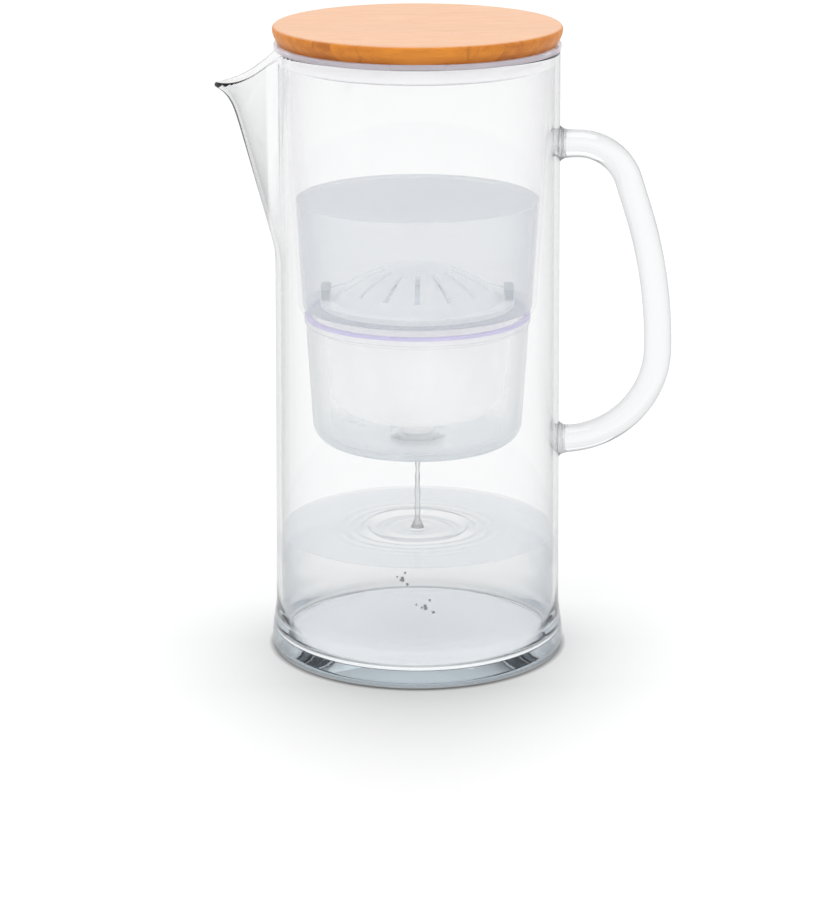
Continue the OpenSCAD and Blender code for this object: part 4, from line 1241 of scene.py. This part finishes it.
def floor_material(stage):
    """White paper with the pitcher's painted shadow and a glow for the rays that see it, and plain paper
    for the rays that only carry light."""
    material, tree = new_material("White Floor")
    place = add(tree, "TexCoord").outputs["Object"]
    bent, seen = seen_rays(tree)
    reach = add(tree, "VectorMath", {0: place}, operation="LENGTH").outputs["Value"]
    # The painted shadow is lighter through the glass, and darkest in a thin painted line round the foot
    depth = ranged(tree, bent, 0.0, 1.0, stage.shadow, stage.shadow * 0.2)
    to_foot = math(tree, "ABSOLUTE", math(tree, "SUBTRACT", reach, JUG_HIGH.y - 1 * MM))
    painted_contact_shadow = ranged(tree, to_foot, 0.0, 3 * MM, stage.shadow * 1.4, 0.0)
    dim = math(tree, "ADD", math(tree, "MULTIPLY", soft_shadow(tree), depth), painted_contact_shadow, clamp=True)
    light = blended(tree, dim, ranged(tree, bent, 0.0, 1.0, 1.0, 0.91), BLACK)
    shade = blended(tree, 1.0, light, (0.6, 0.6, 0.6), "MULTIPLY")
    paper = add(tree, "BsdfDiffuse", {"Color": shade}).outputs[0]
    # The glow makes up for the lamps' fall-off with the distance, and is painted light under the glass
    # foot, which stands in for the light that the foot would gather on what lies under it
    under = math(tree, "MULTIPLY", ranged(tree, reach, 0.062, 0.068, 0.44, 0.0), bent)
    far = ranged(tree, reach, 0.4, 2.5, 0.24, 0.44)
    strength = math(tree, "ADD", far, under)
    glow = add(tree, "Emission", {"Color": light, "Strength": strength}).outputs[0]
    lit = add(tree, "AddShader", {0: paper, 1: glow}).outputs[0]
    plain = add(tree, "BsdfDiffuse", {"Color": (0.8, 0.8, 0.8)}).outputs[0]
    return shown(material, add(tree, "MixShader", {0: seen, 1: plain, 2: lit}).outputs[0])


def white_floor(stage):
    """A round floor just under the pitcher's foot, far wider than the view."""
    ring = np.array([0.3, 0.8, 2, 5, 12.0])[:, None]
    angles = even_turn(64)
    flat = np.stack([ring * np.cos(angles), ring * np.sin(angles), 0 * ring * angles], axis=-1)
    points = np.concatenate([flat.reshape(-1, 3), [[0, 0, 0]]])
    rows = grid_faces(len(ring), len(angles), False)
    fan = fan_faces(0, len(angles), len(points) - 1, True)
    mesh = bpy.data.meshes.new("floor")
    faces = [face[::-1] for face in rows.tolist()] + fan.tolist()
    mesh.from_pydata(points - [0, 0, 0.2 * MM], [], faces)
    return new_object("floor", mesh, floor_material(stage))


def studio_room(stage):
    """The even light from all round. The room is white, and dark high up for what glass bends or
    mirrors."""
    world = bpy.data.worlds.new("studio")
    world.use_nodes = True
    bpy.context.scene.world = world
    tree = world.node_tree
    tree.nodes.clear()
    bent, seen = seen_rays(tree)
    direction = add(tree, "TexCoord").outputs["Generated"]
    height = add(tree, "SeparateXYZ", {0: direction}).outputs["Z"]
    light = blended(tree, bent, WHITE, ranged(tree, height, 0.35, 0.75, 0.95, stage.dark_light))
    strength = ranged(tree, seen, 0.0, 1.0, stage.world_light, 1.0)
    background = add(tree, "Background", {"Color": light, "Strength": strength})
    add(tree, "OutputWorld", {"Surface": background.outputs[0]})


def front_camera(stage):
    """The camera in front of the pitcher, which looks a little down on it."""
    camera = bpy.data.objects.new("camera", bpy.data.cameras.new("camera"))
    bpy.context.scene.collection.objects.link(camera)
    camera.data.sensor_width = 36.0
    camera.data.lens = stage.focal
    camera.data.clip_end = 50.0
    camera.location = (0, -stage.distance, stage.height)
    camera.rotation_euler = (np.pi / 2 - np.radians(stage.tilt), 0, 0)
    bpy.context.scene.camera = camera


class PITCHER_OT_stage(bpy.types.Operator):
    """Sets up the white floor, the even light and the camera"""

    bl_idname = "pitcher.stage"
    bl_label = "Stage"

    def execute(self, context):
        stage, scene = settings().stage, bpy.context.scene
        scene.view_settings.view_transform = "Standard"
        # Light passes many nested walls of glass and plastic
        scene.cycles.max_bounces = 40
        scene.cycles.transmission_bounces = 32
        scene.cycles.transparent_max_bounces = 48
        scene.cycles.diffuse_bounces = 4
        scene.cycles.glossy_bounces = 12
        front_camera(stage)
        floor = white_floor(stage)
        studio_room(stage)
        aim = (0, 0, 0.15)
        soft_lamp("top", (0, -0.2, 3.0), aim, 2.4, stage.top_power)
        soft_lamp("key", (-0.7, -0.6, 1.1), aim, 0.8, stage.lamp_power)
        soft_lamp("fill", (0.9, -0.5, 0.7), aim, 0.8, stage.lamp_power * 0.5)
        soft_lamp("back", (0.1, 0.9, 0.9), aim, 0.9, stage.lamp_power * 0.7)
        return {"FINISHED"}


OPERATORS = [
    PITCHER_OT_stage, PITCHER_OT_jug, PITCHER_OT_handle, PITCHER_OT_funnel, PITCHER_OT_cup,
    PITCHER_OT_cartridge, PITCHER_OT_nozzle, PITCHER_OT_lid, PITCHER_OT_water,
]


class PITCHER_PT_panel(bpy.types.Panel):
    """Lists the steps that build the pitcher"""

    bl_idname = "PITCHER_PT_panel"
    bl_label = "Filter pitcher"
    bl_space_type = "VIEW_3D"
    bl_region_type = "UI"
    bl_category = "Pitcher"

    def draw(self, context):
        for operator in OPERATORS:
            self.layout.operator(operator.bl_idname)
        for group in (context.scene.pitcher.jug, context.scene.pitcher.lid, context.scene.pitcher.water):
            box = self.layout.box()
            for name in group.__annotations__:
                box.prop(group, name)


CLASSES = [
    JugSizes, FunnelSizes, CartridgeSizes, LidSizes, WaterSizes, StageSizes, PitcherSettings,
    *OPERATORS, PITCHER_PT_panel,
]


def register():
    """Adds the classes and the settings to Blender."""
    for each in CLASSES:
        bpy.utils.register_class(each)
    bpy.types.Scene.pitcher = PointerProperty(type=PitcherSettings)


def unregister():
    """Takes the settings and the classes out again."""
    del bpy.types.Scene.pitcher
    for each in reversed(CLASSES):
        bpy.utils.unregister_class(each)


def main():
    """Builds everything."""
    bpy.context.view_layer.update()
    register()
    bpy.ops.pitcher.stage()
    bpy.ops.pitcher.jug()
    bpy.ops.pitcher.handle()
    bpy.ops.pitcher.funnel()
    bpy.ops.pitcher.cup()
    bpy.ops.pitcher.cartridge()
    bpy.ops.pitcher.nozzle()
    bpy.ops.pitcher.lid()
    bpy.ops.pitcher.water()


if __name__ == "__main__":
    main()
